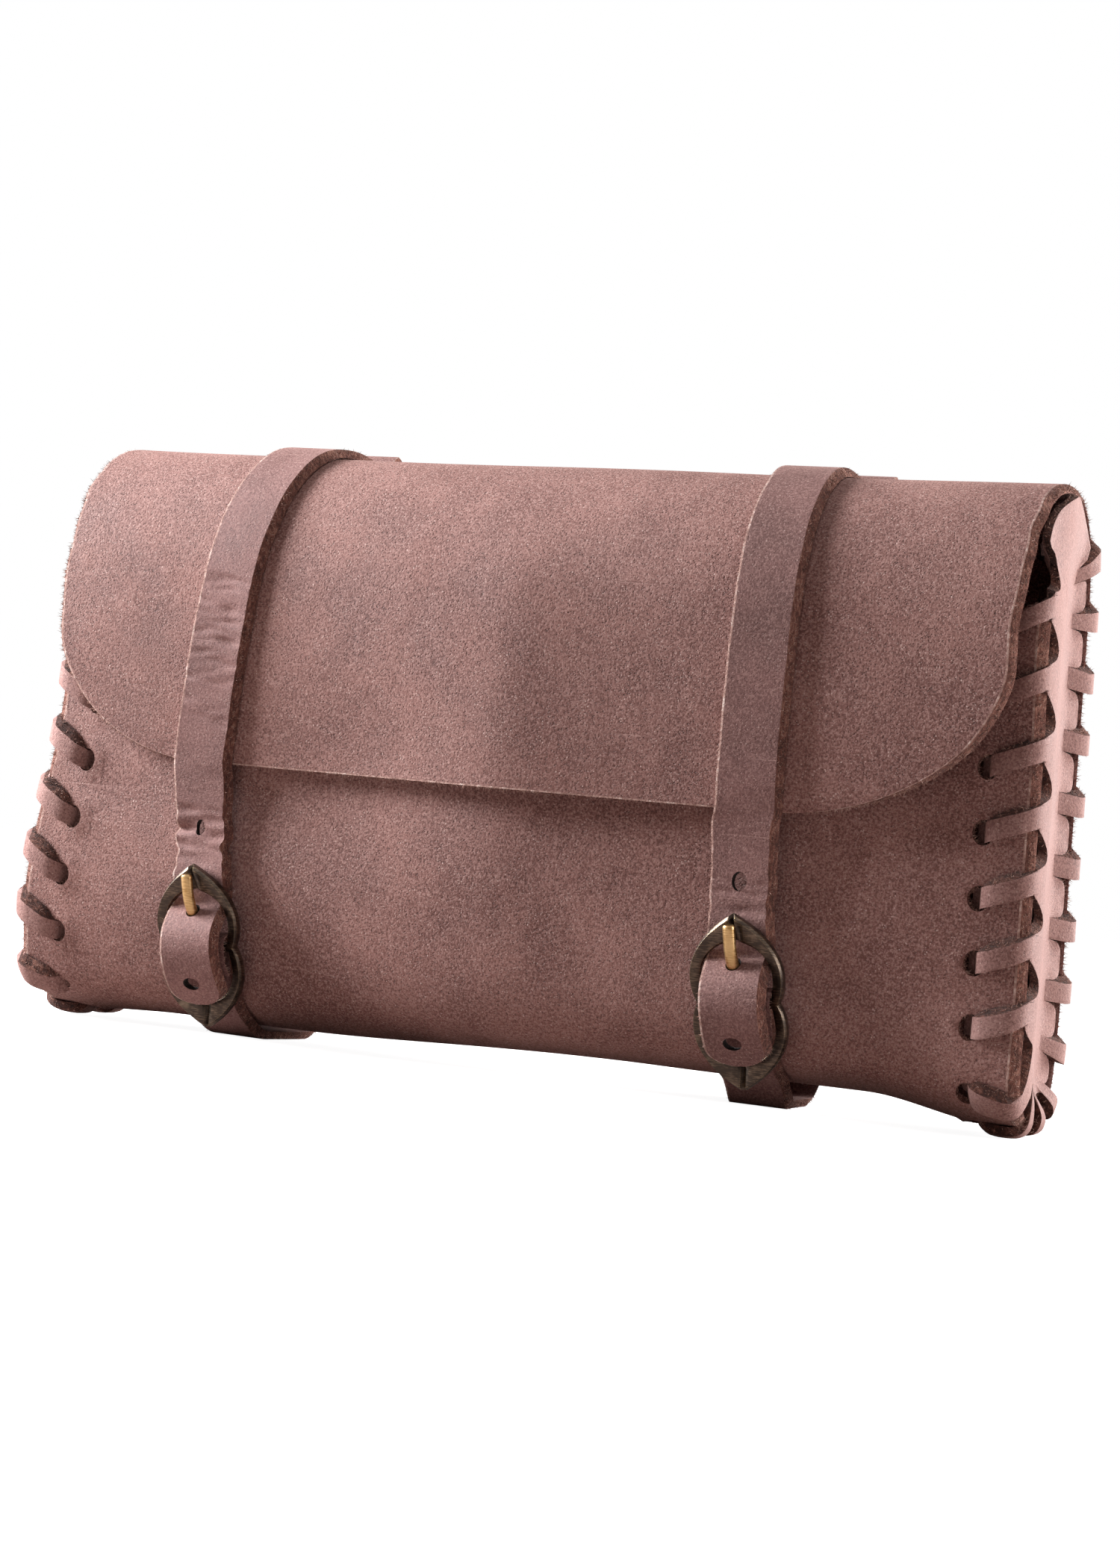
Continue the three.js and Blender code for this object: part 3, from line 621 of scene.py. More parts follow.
# %% [markdown]
# Solidify gives the sheet its thickness and marks the rim as cut. Bevel takes off the sharp edges, and
# the faces along the border of the grain side get the pale arris: grain worn pale, with a painted
# highlight. `settle` hands the finished piece over: it rides on the bag's one body and stands in place
# of the solids it was modelled on.

# %% Thickness, edges and hand-over
CUT, ARRIS, PAINTED_SHADE_HOLE_WALL = 1, 2, 3      # a leather piece's finishes by number; its grain is number 0


def thicken(piece, thickness):
    """Leather thickness towards the inside; the rim becomes cut edge. Returns the count of outer points."""
    outer = len(piece.data.vertices)
    modifier(piece, "SOLIDIFY", thickness=thickness * MM, offset=-1.0, use_rim=True,
             material_offset_rim=CUT, use_quality_normals=True)
    return outer


def wear_and_highlight_border(piece, outer, at_border):
    """Gives the grain side's border faces, those with only border points, the arris finish: grain worn pale
    with a painted highlight.
    """
    for face in piece.data.polygons:
        corners = np.array(face.vertices)
        if corners.max() < outer and at_border[corners].all():
            face.material_index = ARRIS


def soften(piece, width, angle=40.0):
    """Takes the sharp arris off every cut edge and gives the new faces the arris finish, a painted
    highlight on worn grain.
    """
    modifier(piece, "BEVEL", width=width * MM, segments=2, limit_method="ANGLE",
             angle_limit=math.radians(angle), material=ARRIS, use_clamp_overlap=True)


def shade(piece, angle=38.0):
    """Smooth shading that leaves edges sharper than the angle crisp."""
    pick(piece)
    bpy.ops.object.shade_smooth_by_angle(angle=math.radians(angle))


def settle(piece, slot, *nodes):
    """The piece rides with the bag and stands for its solids, which are hidden. The slot is not used."""
    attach(piece, "root")
    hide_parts(*nodes)
    triangles = sum(len(p.vertices) - 2 for p in piece.data.polygons)
    print(piece.name, "has", triangles, "triangles")


# %% [markdown]
# Boolean punches the holes. A punch is an oval cylinder, and all the punches of a row are joined first,
# because one Boolean with twenty cutters is much quicker than twenty Booleans.

# %% Punches
def punch_tool(name, centres, across, along, out, half_across, half_along, depth):
    """Oval cutters, one at each centre, joined in one object. Directions are frame vectors."""
    made = []
    for k in range(len(centres)):
        bpy.ops.mesh.primitive_cylinder_add(vertices=28, radius=1.0, depth=1.0)
        tool = added(name)
        basis = Matrix((Vector(across[k]) * half_across * MM, Vector(along[k]) * half_along * MM,
                        Vector(out[k]) * depth * MM)).transposed().to_4x4()
        tool.data.transform(Matrix.Translation(Vector(centres[k])) @ basis)
        made.append(tool)
    join(*made)
    in_edit_mode(made[0], OUTWARDS)
    return made[0]


def cut(piece, tool, finish_number=CUT):
    """Takes the tool's shape out of the piece; the new walls get one of the piece's finishes."""
    for finish in piece.data.materials:
        tool.data.materials.append(finish)
    tool.data.polygons.foreach_set("material_index", [finish_number] * len(tool.data.polygons))
    modifier(piece, "BOOLEAN", operation="DIFFERENCE", object=tool, solver="EXACT")
    bpy.data.objects.remove(tool)


# %% [markdown]
# Raw cuts of this leather are never clean: short loose fibres stand out of them. One fibre is a thin
# three-sided spike. An Array modifier copies it, and each copy is then laid on the cut somewhere, at a
# slant of its own.

# %% Loose fibres on a cut
FIBRE_RADIUS, FIBRE_SPREAD = 0.1, 0.75


def fuzz(piece, count, longest, seed):
    """Joins loose fibres to the piece, rooted in its cut faces."""
    rng = np.random.default_rng(seed)
    faces = [face for face in piece.data.polygons if face.material_index == CUT]
    area = np.array([face.area for face in faces])
    roots, ways = np.empty((count, 3)), np.empty((count, 3))
    for k, number in enumerate(rng.choice(len(faces), count, p=area / area.sum())):
        corners = np.array([piece.data.vertices[v].co for v in faces[number].vertices])
        roots[k] = rng.dirichlet(np.ones(len(corners))) @ corners
        ways[k] = faces[number].normal
    ways = unit(ways + FIBRE_SPREAD * rng.normal(size=(count, 3)))
    first = unit(np.cross(ways, rng.normal(size=(count, 3))))
    second = np.cross(ways, first)
    length = longest * MM * rng.uniform(0.25, 1.0, count) ** 1.6
    bpy.ops.mesh.primitive_cone_add(vertices=3, radius1=FIBRE_RADIUS * MM, depth=MM,
                                    end_fill_type="NOTHING")
    fibres = added("loose_fibres", fibre)
    modifier(fibres, "ARRAY", count=count)
    tip = np.tile(points_of(fibres)[:4, 2] > 0, count)
    turn = np.tile(2 * math.pi / 3 * np.arange(4), count)
    owner = np.repeat(np.arange(count), 4)
    around = np.cos(turn)[:, None] * first[owner] + np.sin(turn)[:, None] * second[owner]
    stands = np.where(tip[:, None], ways[owner] * length[owner, None], around * FIBRE_RADIUS * MM)
    set_points(fibres, roots[owner] + stands)
    join(piece, fibres)


# %% [markdown]
# ## The strip: front, bottom, back, top and flap
# The grid's rows follow the leather at an even distance and crowd together at the rounded corners of
# the flap; its columns crowd towards the edges, where the shape changes most.

# %% Rows and columns of the strip
BODY_LEATHER = 2.2
CORNER_ROWS, ROW_SPACING, COLUMN_COUNT = 30, 1.55, 107
# The pale border is grain worn pale with a painted highlight along the edge.
PALE_FROM, PALE_ROWS = 0.9958, 5        # the worn border: share of the half width, rows at the flap's edge
plain_rows = place_at(np.arange(0, LENGTH_AT[np.argmax(LENGTH_U >= ROW["flap_corner"])], ROW_SPACING))
corner_rows = ROW["flap_corner"] + np.sin(np.linspace(0, math.pi / 2, CORNER_ROWS))
strip_rows = np.concatenate([plain_rows[:-1], corner_rows])
spread = np.linspace(-1, 1, COLUMN_COUNT)
strip_columns = 0.5 * spread + 0.5 * np.sin(spread * math.pi / 2)
strip_columns = np.sort(np.concatenate([strip_columns, [-PALE_FROM, PALE_FROM]]))
print("bag_body grid", len(strip_columns), "by", len(strip_rows))

# %% [markdown]
# Two small things show how the strip was worked. The lacing pulled up a rim round each hole, and the
# knife was held at a slant, so the flesh side reaches a little further out than the grain side.

# %% Lay the strip
LIP_HEIGHT, LIP_RADIUS, LIP_RUN, LIP_OVAL = 0.6, 3.6, 1.1, 1.15
SLANT_PLAIN, SLANT_FRONT, SLANT_FLAP = 0.7, 1.7, 0.9


def lip(u, x):
    """Height of the raised rim that the lacing pulls up round each hole."""
    left, right = strip_edges(u, through(SECTION, u)[:, 1])
    inward = np.where(x < 0, left + x, right - x) - HOLE_INSET
    along = np.interp(u, LENGTH_U, LENGTH_AT)
    beside_left, beside_right = (np.abs(along[:, None] - HOLES[side]).min(axis=1) for side in (-1, 1))
    beside = np.where(x < 0, beside_left, beside_right)
    away = np.hypot(beside / LIP_OVAL, inward)
    inner_side = 0.5 + 0.5 * inward / np.maximum(away, 0.1)
    return LIP_HEIGHT * np.exp(-((away - LIP_RADIUS) / LIP_RUN) ** 2) * inner_side


def cut_slant(u):
    """How far the flesh side reaches beyond the grain side at the side edges."""
    front = 1 - smoothstep(u, ROW["turn_front"], ROW["under_mid"])
    flap = smoothstep(u, ROW["turn_top"], ROW["ridge_front"])
    return SLANT_PLAIN + SLANT_FRONT * front + SLANT_FLAP * flap


bag_body, column, row = flat_grid("bag_body", len(strip_columns), len(strip_rows),
                                  (body_leather, raw_cut, arris))
u = strip_rows[row]
left, right_edge = strip_edges(u, through(SECTION, u)[:, 1])
share = strip_columns[column]
x = np.where(share < 0, share * left, share * right_edge)
set_points(bag_body, to_frame(panel(u, x, lip(u, x) * (u < ROW["ridge"]))))
face_away(bag_body, lambda centre: centre * [1, 0, 0] + [0, 0, 0.08])
outer_count = thicken(bag_body, BODY_LEATHER)
points = points_of(bag_body)
at_edge = np.where(column == 0, -1, np.where(column == len(strip_columns) - 1, 1, 0))
points[outer_count:, 0] += at_edge * cut_slant(u) * MM
set_points(bag_body, points)
# The outer columns and the flap's last rows get the pale arris: worn grain with a painted highlight.
pale_sides = np.minimum(column, len(strip_columns) - 1 - column) < 2
wear_and_highlight_border(bag_body, outer_count, pale_sides | (row > len(strip_rows) - PALE_ROWS))
soften(bag_body, 0.55)
print("bag_body has", len(bag_body.data.vertices), "points before its holes are punched")

# %% [markdown]
# The holes are round punches pulled slightly oval by the lacing. They are cut last, so that the bevel
# leaves their rims crisp. The left corner hole is pulled almost shut by its finger.

# %% Punch the lacing holes
CORNER_HOLE = 7
OPEN_HOLE, SHUT_HOLE, PUNCH_DEPTH = (2.6, 3.1), (1.2, 1.5), 6.0      # half sizes across and along
for side in (-1, 1):
    hole_u = place_at(HOLES[side])
    hole_points, hole_ways = section_at(hole_u)
    reach = strip_edges(hole_u, hole_points[:, 1])[0 if side < 0 else 1]
    hole_out = np.column_stack([np.zeros(HOLE_COUNT), hole_ways])
    hole_along = np.column_stack([np.zeros(HOLE_COUNT), -hole_ways[:, 1], hole_ways[:, 0]])
    centres = to_frame(panel(hole_u, side * (reach - HOLE_INSET), -BODY_LEATHER / 2))
    sideways = np.tile([1.0, 0.0, 0.0], (HOLE_COUNT, 1))
    shut = (np.arange(HOLE_COUNT) == CORNER_HOLE) & (side < 0)
    for chosen, half_sizes in ((~shut, OPEN_HOLE), (shut, SHUT_HOLE)):
        if chosen.any():
            tool = punch_tool("lacing_punch", centres[chosen], sideways[chosen], hole_along[chosen],
                              hole_out[chosen], *half_sizes, PUNCH_DEPTH)
            cut(bag_body, tool)
fuzz(bag_body, count=12000, longest=1.6, seed=3)
shade(bag_body)
settle(bag_body, "body_leather", "body_panel")

# %% [markdown]
# ## The gussets and their fingers
# Each gusset is one sheet: a plate that fills the end of the bag and a border cut into fingers. A
# finger leaves the plate, climbs over the strip's edge, lies along its face and dives into a hole. Two
# tables hold that route as a side view, one for the front fingers and one for the back ones: `reach` is
# the way travelled from the plate's border (below 0 is still inside the plate), `out` is measured
# sideways from the strip's edge and `off` is measured from the strip's outer face. At the front the
# plate stands proud of the strip; at the back it sinks in, so the back fingers are slit free at their
# roots and bent out with a crease.

# %% The route of a finger
PLATE_INSET = BODY_LEATHER + 0.35       # the plate lies inside the strip with a small gap
FRONT_ROUTE = np.array([
    # reach, out, off
    (-14.0, 2.8, -16.55), (-11.0, 3.0, -13.55), (-9.0, 3.15, -11.55), (-7.0, 3.2, -9.55),
    (-5.5, 3.2, -8.05), (-4.0, 3.15, -6.55), (-2.0, 3.0, -4.55), (0.0, 2.75, -2.55), (1.5, 2.4, -1.1),
    (3.0, 1.85, 0.3), (4.5, 1.0, 1.45), (6.0, -0.15, 2.25), (7.5, -1.5, 2.6), (9.5, -3.5, 2.65),
    (11.6, -5.6, 2.6), (13.3, -7.2, 2.3), (14.7, -8.4, 1.7), (16.1, -9.4, 0.7), (17.5, -10.0, -0.6),
    (18.9, -10.3, -2.0), (20.3, -11.0, -3.2), (21.9, -12.4, -3.9),
])
BACK_ROUTE = np.array([
    # reach, out, off
    (-14.0, -1.9, -16.55), (-8.5, -1.95, -11.05), (-7.2, -2.0, -9.75), (-6.0, -1.3, -8.55),
    (-4.5, -0.1, -7.05), (-3.0, 1.0, -5.55), (-1.5, 1.9, -4.05), (0.0, 2.6, -2.55), (1.3, 2.9, -1.3),
    (2.6, 2.85, 0.1), (3.9, 2.4, 1.25), (5.3, 1.55, 2.05), (7.0, 0.2, 2.5), (9.1, -1.5, 2.7),
    (11.2, -3.6, 2.7), (13.2, -5.6, 2.6), (14.9, -7.2, 2.3), (16.3, -8.4, 1.7), (17.6, -9.4, 0.7),
    (19.0, -10.0, -0.6), (20.4, -10.3, -2.0), (21.8, -11.0, -3.2), (23.3, -12.4, -3.9),
])
BACK_BORDER = np.array([(-14.0, -1.9), (-8.5, -1.9), (-6.0, -1.6), (-3.0, -0.8), (0.0, -0.1), (4.0, 0.3)])
SLANT = np.array([(-1.0, 0.0), (3.0, 0.2), (8.0, 0.55), (13.0, 0.85), (17.0, 1.0)])
PLATE_REACH = np.array([-14.0, -11.5, -9.5, -8.0, -6.5, -5.0, -3.5, -2.0, -0.5, 1.0, 2.5, 4.0, 5.5, 7.0])
PLATE_START = PLATE_REACH[0]
FINGER_STEPS = 20
FRONT_JOIN, BACK_JOIN = 5.5, -7.2       # reach at which a finger comes free of the border
back_share = smoothstep(np.arange(HOLE_COUNT), 6, 12)
# how far the hole lies beyond the finger's root, from the mouth down to the bottom, and on all the rest
REST_SLANT = 3.0
SLANTS = {1: (8.2, 7.0, 6.0, 5.6, 5.6, 5.6, 4.6, -3.5, -1.0, 1.0, 2.5),
          -1: (9.5, 9.5, 9.5, 9.5, 9.5, 9.5, 8.5, 5.0, 2.0, 2.0, 2.5)}
finger_join = FRONT_JOIN + (BACK_JOIN - FRONT_JOIN) * back_share


def route(reach, turn, what):
    """Out (1) or off (2) of a finger, mixed from its front and back route."""
    front, back = (np.interp(reach, table[:, 0], table[:, what]) for table in (FRONT_ROUTE, BACK_ROUTE))
    return front + (back - front) * turn


# %% [markdown]
# The plate's border follows the inside of the strip from the mouth round to the top, and its rounded
# top closes the outline. It is kept as a table of distance, y and z; distances below 0 belong to the
# rounded top.

# %% The plate's border
TONGUE = np.array([(-25.4, 138.0), (-23.8, 144.6), (-17.6, 151.6), (-9.6, 155.8), (-4.5, 157.4)])
SPINE_LOW, SPINE_HIGH = 30.0, 128.0
PROUD_FRONT, SINK_BACK, TOP_SHIFT = 2.8, 4.7, 2.2     # how far the plate stands out and where it sinks in
FRONT_TO_BACK = (-16, 18)
LEFT_PROUD = 1.4            # the left end's front fingers stand off further where they bend over


def border_table(side):
    """Distance along one gusset's border and its points as y and z."""
    u = place_at(np.linspace(0, LENGTH_AT[np.argmax(LENGTH_U >= ROW["ridge"])], 900))
    left, right = strip_edges(u, through(SECTION, u)[:, 1])
    inside = panel(u, -left if side < 0 else right, -PLATE_INSET)[:, 1:]
    top = even_path(np.vstack([inside[0], TONGUE, inside[-1]]), 0.4)
    rise = np.cumsum(np.linalg.norm(np.diff(top, axis=0), axis=1))
    return np.concatenate([-rise[::-1], np.interp(u, LENGTH_U, LENGTH_AT)]), np.vstack([top[:0:-1], inside])


BORDERS = {side: border_table(side) for side in (-1, 1)}
MOUTH_WAY = unit(SECTION[1, :2] - SECTION[0, :2])       # down the leather at the mouth, as y and z
print("gusset border", [round(float(table[0][-1] - table[0][0])) for table in BORDERS.values()], "mm round")


def gusset_point(side, laid, along, reach, spine_share):
    """Points of a gusset's outer face at a distance along its border and a reach from it."""
    turn, laced = laid["turn"], laid["laced"]
    slanted = along + laid["slant"] * np.interp(reach, SLANT[:, 0], SLANT[:, 1])
    table_at, table = BORDERS[side]
    border = np.column_stack([np.interp(slanted, table_at, table[:, k]) for k in range(2)])
    spine = np.column_stack([np.zeros(len(border)), laid["spine"]])
    far = np.linalg.norm(spine - border, axis=1)
    depth = np.maximum(-reach, 0)
    depth = depth + (far - depth) * spine_share
    flat = border + (spine - border) * (depth / far)[:, None]
    towards_back = smoothstep(flat[:, 0], *FRONT_TO_BACK)
    level = PROUD_FRONT - SINK_BACK * towards_back
    level -= TOP_SHIFT * laid["tongue"] * (1 - smoothstep(flat[:, 0], -22, -4))
    level += TOP_SHIFT * smoothstep(flat[:, 1], 138, 150) * towards_back
    front_out = np.interp(reach, FRONT_ROUTE[:, 0], FRONT_ROUTE[:, 1])
    border_out = front_out + (np.interp(reach, BACK_BORDER[:, 0], BACK_BORDER[:, 1]) - front_out) * turn
    path_out = route(reach, turn, 1)
    proud = LEFT_PROUD * np.exp(-((reach - 2.5) / 3.5) ** 2) * (1 - turn) * (side < 0)
    path_out = path_out + (border_out - path_out) * laid["bow"] + proud * (1 - laid["bow"])
    inside = level + (path_out - route(PLATE_START, turn, 1)) * laced
    out = inside + (path_out - inside) * smoothstep(reach, -6, 0) * laced
    plate = np.column_stack([side * (half_width(side, flat[:, 1]) + out), flat])
    u = place_at(slanted)
    left, right = strip_edges(u, through(SECTION, u)[:, 1])
    edge = left if side < 0 else right
    over = panel(u, side * (edge + np.minimum(out, 0)), route(reach, turn, 2))
    over[:, 0] += side * np.maximum(out, 0)
    over[:, 1:] += np.minimum(slanted, 0)[:, None] * MOUTH_WAY
    return np.where((reach > 0)[:, None], over, plate)


# %% [markdown]
# The columns of a gusset are listed from the rounded top down the front, under and up the back. Each
# finger has six columns. The border between two fingers is cut back in a round bow: it starts beside
# one finger, where that bends over the strip's edge, runs back into the plate and returns to the next.

# %% Columns of the border
FINGER_HALF, FINGER_COLUMNS = 2.6, 6
TOP_COLUMNS = 22
BOW_SHARES = np.array([0.03, 0.09, 0.18, 0.3, 0.43, 0.57, 0.7, 0.82, 0.91, 0.97])
BOW_ROUND = np.sqrt(1 - (2 * BOW_SHARES - 1) ** 2)
BOW_DEEPEST = 0.6
BOW_START, BOW_DEPTH, BOW_DEEPER = 4.3, 6.5, 2.2
TOP_RUN, TOP_BOW = 8.4, -4.6        # the first bow, between the rounded top and the first finger
END_SHARES = np.array([0.06, 0.14, 0.25, 0.4, 0.6, 0.8, 1.0])


def bow(first, last, deepest, turn):
    """Reach of the border between two fingers: a slow start under one, a round end above the next."""
    slow = np.sin(np.clip(BOW_SHARES / BOW_DEEPEST, 0, 1) * math.pi / 2) ** 2
    quick = np.sqrt(1 - np.clip((BOW_SHARES - BOW_DEEPEST) / (1 - BOW_DEEPEST), 0, 1) ** 2)
    front = np.where(BOW_SHARES < BOW_DEEPEST, first + (deepest - first) * slow,
                     last + (deepest - last) * quick)
    even = first + (last - first) * BOW_SHARES
    return front + (even + (deepest - even) * BOW_ROUND - front) * turn


def border_columns(side):
    """All columns of one gusset: home on the border, finger number or -1, end, and how each is shaped."""
    slant = np.array(SLANTS[side] + (REST_SLANT,) * (HOLE_COUNT - len(SLANTS[side])))
    homes = HOLES[side] - slant
    table_at, table = BORDERS[side]
    first_side, last_side = homes[0] - FINGER_HALF, homes[-1] + FINGER_HALF
    top = first_side - TOP_RUN
    parts = [(np.linspace(table_at[0], top, TOP_COLUMNS), -1, np.zeros(TOP_COLUMNS), np.ones(TOP_COLUMNS)),
             (top + (first_side - top) * BOW_SHARES, -1, bow(0.0, finger_join[0], TOP_BOW, 0.0),
              np.maximum(BOW_ROUND, 1 - BOW_SHARES))]
    for k in range(HOLE_COUNT):
        parts.append((homes[k] + FINGER_HALF * np.linspace(-1, 1, FINGER_COLUMNS), k,
                      np.full(FINGER_COLUMNS, finger_join[k]), np.zeros(FINGER_COLUMNS)))
        if k + 1 < HOLE_COUNT:
            start, end = homes[k] + FINGER_HALF, homes[k + 1] - FINGER_HALF
            deepest = -(BOW_DEPTH + BOW_DEEPER * smoothstep(k, 2, 5)) * (1 - smoothstep(k, 7, 11)) - 0.2
            first = finger_join[k] - BOW_START * (1 - back_share[k])
            parts.append((start + (end - start) * BOW_SHARES, -1,
                          bow(first, finger_join[k + 1], deepest, back_share[k]), BOW_ROUND))
    parts.append((last_side + (table_at[-1] - last_side) * END_SHARES, -1,
                  finger_join[-1] * np.maximum(0, 1 - 3 * END_SHARES) ** 2, np.minimum(1, 3 * END_SHARES)))
    home, end, round_share = (np.concatenate([part[k] for part in parts]) for k in (0, 2, 3))
    finger = np.concatenate([np.full(len(part[0]), part[1]) for part in parts])
    height = np.clip(np.interp(home, table_at, table[:, 1]), SPINE_LOW, SPINE_HIGH)
    steep = np.full(len(home), 1.3) if side < 0 else 0.45 + 0.55 * smoothstep(home, homes[1], homes[4])
    return {
        "home": home, "finger": finger, "end": end, "bow": round_share,
        "slant": np.where(finger >= 0, slant[np.maximum(finger, 0)], np.interp(home, homes, slant)),
        "turn": np.interp(home, homes, back_share),
        "laced": smoothstep(home, top - 5, top + 1) * (1 - smoothstep(home, last_side, last_side + 9)),
        "tongue": 1 - smoothstep(home, top - 4, top + 2),
        "steep": steep,
        "spine": (height + height[::-1]) / 2,
    }


COLUMNS = {side: border_columns(side) for side in (-1, 1)}
print("gusset columns", len(COLUMNS[1]["home"]))

# %% [markdown]
# Extruding changes the number of points, so each point carries its column, reach and share of the way
# to the plate's spine as fields, and the sheet can be laid again from them at any time. The knife was
# held at a slant here as well: the flesh side of every finger is moved up and forwards a little, which
# shows a broad rough cut along its upper edge.

# %% Lay a gusset and grow its fingers
CUT_UP, CUT_FORWARD = 1.9, 1.3
BACK_LONGER = 1.4           # a back finger's way is this much longer


def field_of(piece, name):
    """A field's value at every point of the piece."""
    values = np.empty(len(piece.data.vertices), np.float32)
    piece.data.attributes[name].data.foreach_get("value", values)
    return values.astype(float)


def gusset_lay(piece, side, flesh=False):
    """Where every point of the sheet lies, or where the slanted cut carries its flesh side."""
    column = np.rint(field_of(piece, "column")).astype(int)
    reach, spine_share = field_of(piece, "reach"), field_of(piece, "spine")
    laid = {name: values[column] for name, values in COLUMNS[side].items()}
    home = laid["home"]
    if flesh:
        near = smoothstep(reach - laid["end"], -6, 0) * (1 - spine_share) * laid["laced"]
        home = home - CUT_UP * laid["steep"] * near * (1 - 2 * laid["turn"])
        reach = reach + CUT_FORWARD * near * laid["bow"]
    return gusset_point(side, laid, home, reach, spine_share)


def grow_fingers(piece, columns, tip, share):
    """Extrudes the tip edges of every finger to a share of its way; returns the new tip points."""
    pick(piece)
    bpy.ops.object.mode_set(mode="EDIT")
    bpy.ops.mesh.select_mode(type="EDGE")
    bpy.ops.mesh.select_all(action="DESELECT")
    bpy.ops.object.mode_set(mode="OBJECT")
    finger = columns["finger"][np.rint(field_of(piece, "column")).astype(int)]
    at_tip = np.zeros(len(piece.data.vertices), bool)
    at_tip[tip] = True
    ends = np.empty(2 * len(piece.data.edges), int)
    piece.data.edges.foreach_get("vertices", ends)
    first, second = ends[::2], ends[1::2]
    chosen = at_tip[first] & at_tip[second] & (finger[first] == finger[second])
    piece.data.edges.foreach_set("select", chosen)
    before = len(piece.data.vertices)
    extrude()
    reached = field_of(piece, "reach")
    column = np.rint(field_of(piece, "column")).astype(int)[before:]
    root, end = columns["end"][column], FRONT_ROUTE[-1, 0] + BACK_LONGER * columns["turn"][column]
    reached[before:] = root + (end - root) * share
    piece.data.attributes["reach"].data.foreach_set("value", reached)
    return np.arange(before, len(reached))


# %% [markdown]
# A gusset starts as a grid for its plate. Then all the fingers are extruded together, row after row, the
# sheet is laid, turned outwards and thickened, and its flesh side is shifted along the slanted cuts.

# %% Make the gussets
GUSSET_LEATHER = 2.1
SPINE_ROWS = 3


def gusset(name, side, node):
    """One gusset of a side, -1 for left and 1 for right, in place of its solid."""
    rows = SPINE_ROWS + len(PLATE_REACH)
    columns = COLUMNS[side]
    finishes = (gusset_leather, raw_dark, soft_arris)
    piece, column, row = flat_grid(name, len(columns["home"]), rows, finishes)
    plate = np.maximum(row - SPINE_ROWS, 0)
    spine_share = np.where(row < SPINE_ROWS, 1 - row / SPINE_ROWS, 0.0)
    end = columns["end"][column]
    share = (PLATE_REACH[plate] - PLATE_START) * (end - PLATE_START) / (PLATE_REACH[-1] - PLATE_START)
    reach = PLATE_START + share
    fields = {"column": column.astype(float), "reach": reach, "spine": spine_share}
    for field, values in fields.items():
        piece.data.attributes.new(field, "FLOAT", "POINT").data.foreach_set("value", values)
    set_points(piece, to_frame(gusset_lay(piece, side)))
    tip = np.flatnonzero((columns["finger"][column] >= 0) & (row == rows - 1))
    for step in range(1, FINGER_STEPS + 1):
        tip = grow_fingers(piece, columns, tip, step / FINGER_STEPS)
    set_points(piece, to_frame(gusset_lay(piece, side)))
    in_edit_mode(piece, (bpy.ops.mesh.remove_doubles, {"threshold": 0.03 * MM}), OUTWARDS)
    face_away(piece, lambda centre: centre * [0, 1, 1])
    slanted = to_frame(gusset_lay(piece, side, True)) - to_frame(gusset_lay(piece, side))
    count = thicken(piece, GUSSET_LEATHER)
    points = points_of(piece)
    points[count:] += slanted
    set_points(piece, points)
    in_edit_mode(piece, (bpy.ops.mesh.remove_doubles, {"threshold": 1e-5}))
    soften(piece, 0.25, angle=48.0)
    fuzz(piece, count=4200, longest=1.3, seed=11 + side)
    shade(piece, angle=34.0)
    settle(piece, "gusset_leather", node)


gusset("laced_gusset_left", -1, "gusset_left")
gusset("laced_gusset_right", 1, "gusset_right")

# %% [markdown]
# ## The buckles
# A cast buckle has two loops with pointed ends and a bar between them. One loop is drawn as a ring of
# points, extruded inwards through the facets of its cross-section and bridged into a closed ring. Its
# twin is the same ring turned round, and the two are joined into one casting.

# %% Where the buckles sit
STRAPS = {
    # across the bag: at the buckle, below the flap, at the flap's edge, on the ridge, on the back; then
    # heights of the bar and the belt loop, the loop's lean, how worn the edges are, half sizes of a hole
    "left": {"buckle": -81.3, "step": -86.0, "edge": -86.0, "ridge": -74.6, "back": -78.2,
             "bar_z": 25.3, "loop_top": 169.4, "lean": -3.0, "finish": strap_leather,
             "worn": 0.6, "spare_hole": (1.4, 2.1), "crease_seed": 21, "fibre_seed": 31},
    # the right strap's darker leather is painted shade for the bag's darker right half
    "right": {"buckle": 69.3, "step": 66.4, "edge": 67.1, "ridge": 67.0, "back": 68.3,
              "bar_z": 27.3, "loop_top": 169.0, "lean": 0.0, "finish": shaded_strap,
              "worn": 0.2, "spare_hole": (1.9, 2.4), "crease_seed": 5, "fibre_seed": 32},
}
BUCKLE_TILT, BUCKLE_LEAN, BAR_OFF_PANEL = math.radians(15), math.radians(5), 4.9


def buckle_frame(data):
    """Centre of the bar and the directions across, up and out of the buckle, as drawn."""
    out = np.array([0.0, -math.cos(BUCKLE_TILT), -math.sin(BUCKLE_TILT)])
    upright = np.array([0.0, -math.sin(BUCKLE_TILT), math.cos(BUCKLE_TILT)])
    turned = Matrix.Rotation(BUCKLE_LEAN, 3, Vector(out)) @ Vector(upright)
    up = np.array(turned)
    rows = np.linspace(ROW["front_mid"], ROW["turn_front"], 400)
    nearest = rows[np.argmin(np.abs(through(SECTION, rows)[:, 1] - data["bar_z"]))]
    face = panel(nearest, data["buckle"])
    centre = np.array([data["buckle"], face[1], data["bar_z"]]) + out * BAR_OFF_PANEL
    return centre, np.cross(up, out), up, out


def in_buckle(place, across, up, out):
    """A drawn point of a buckle's own frame."""
    centre, way_across, way_up, way_out = place
    return centre + np.outer(across, way_across) + np.outer(up, way_up) + np.outer(out, way_out)


for side, data in STRAPS.items():
    data["frame"] = buckle_frame(data)
    print(side, "buckle centre", [round(float(c), 1) for c in data["frame"][0]])

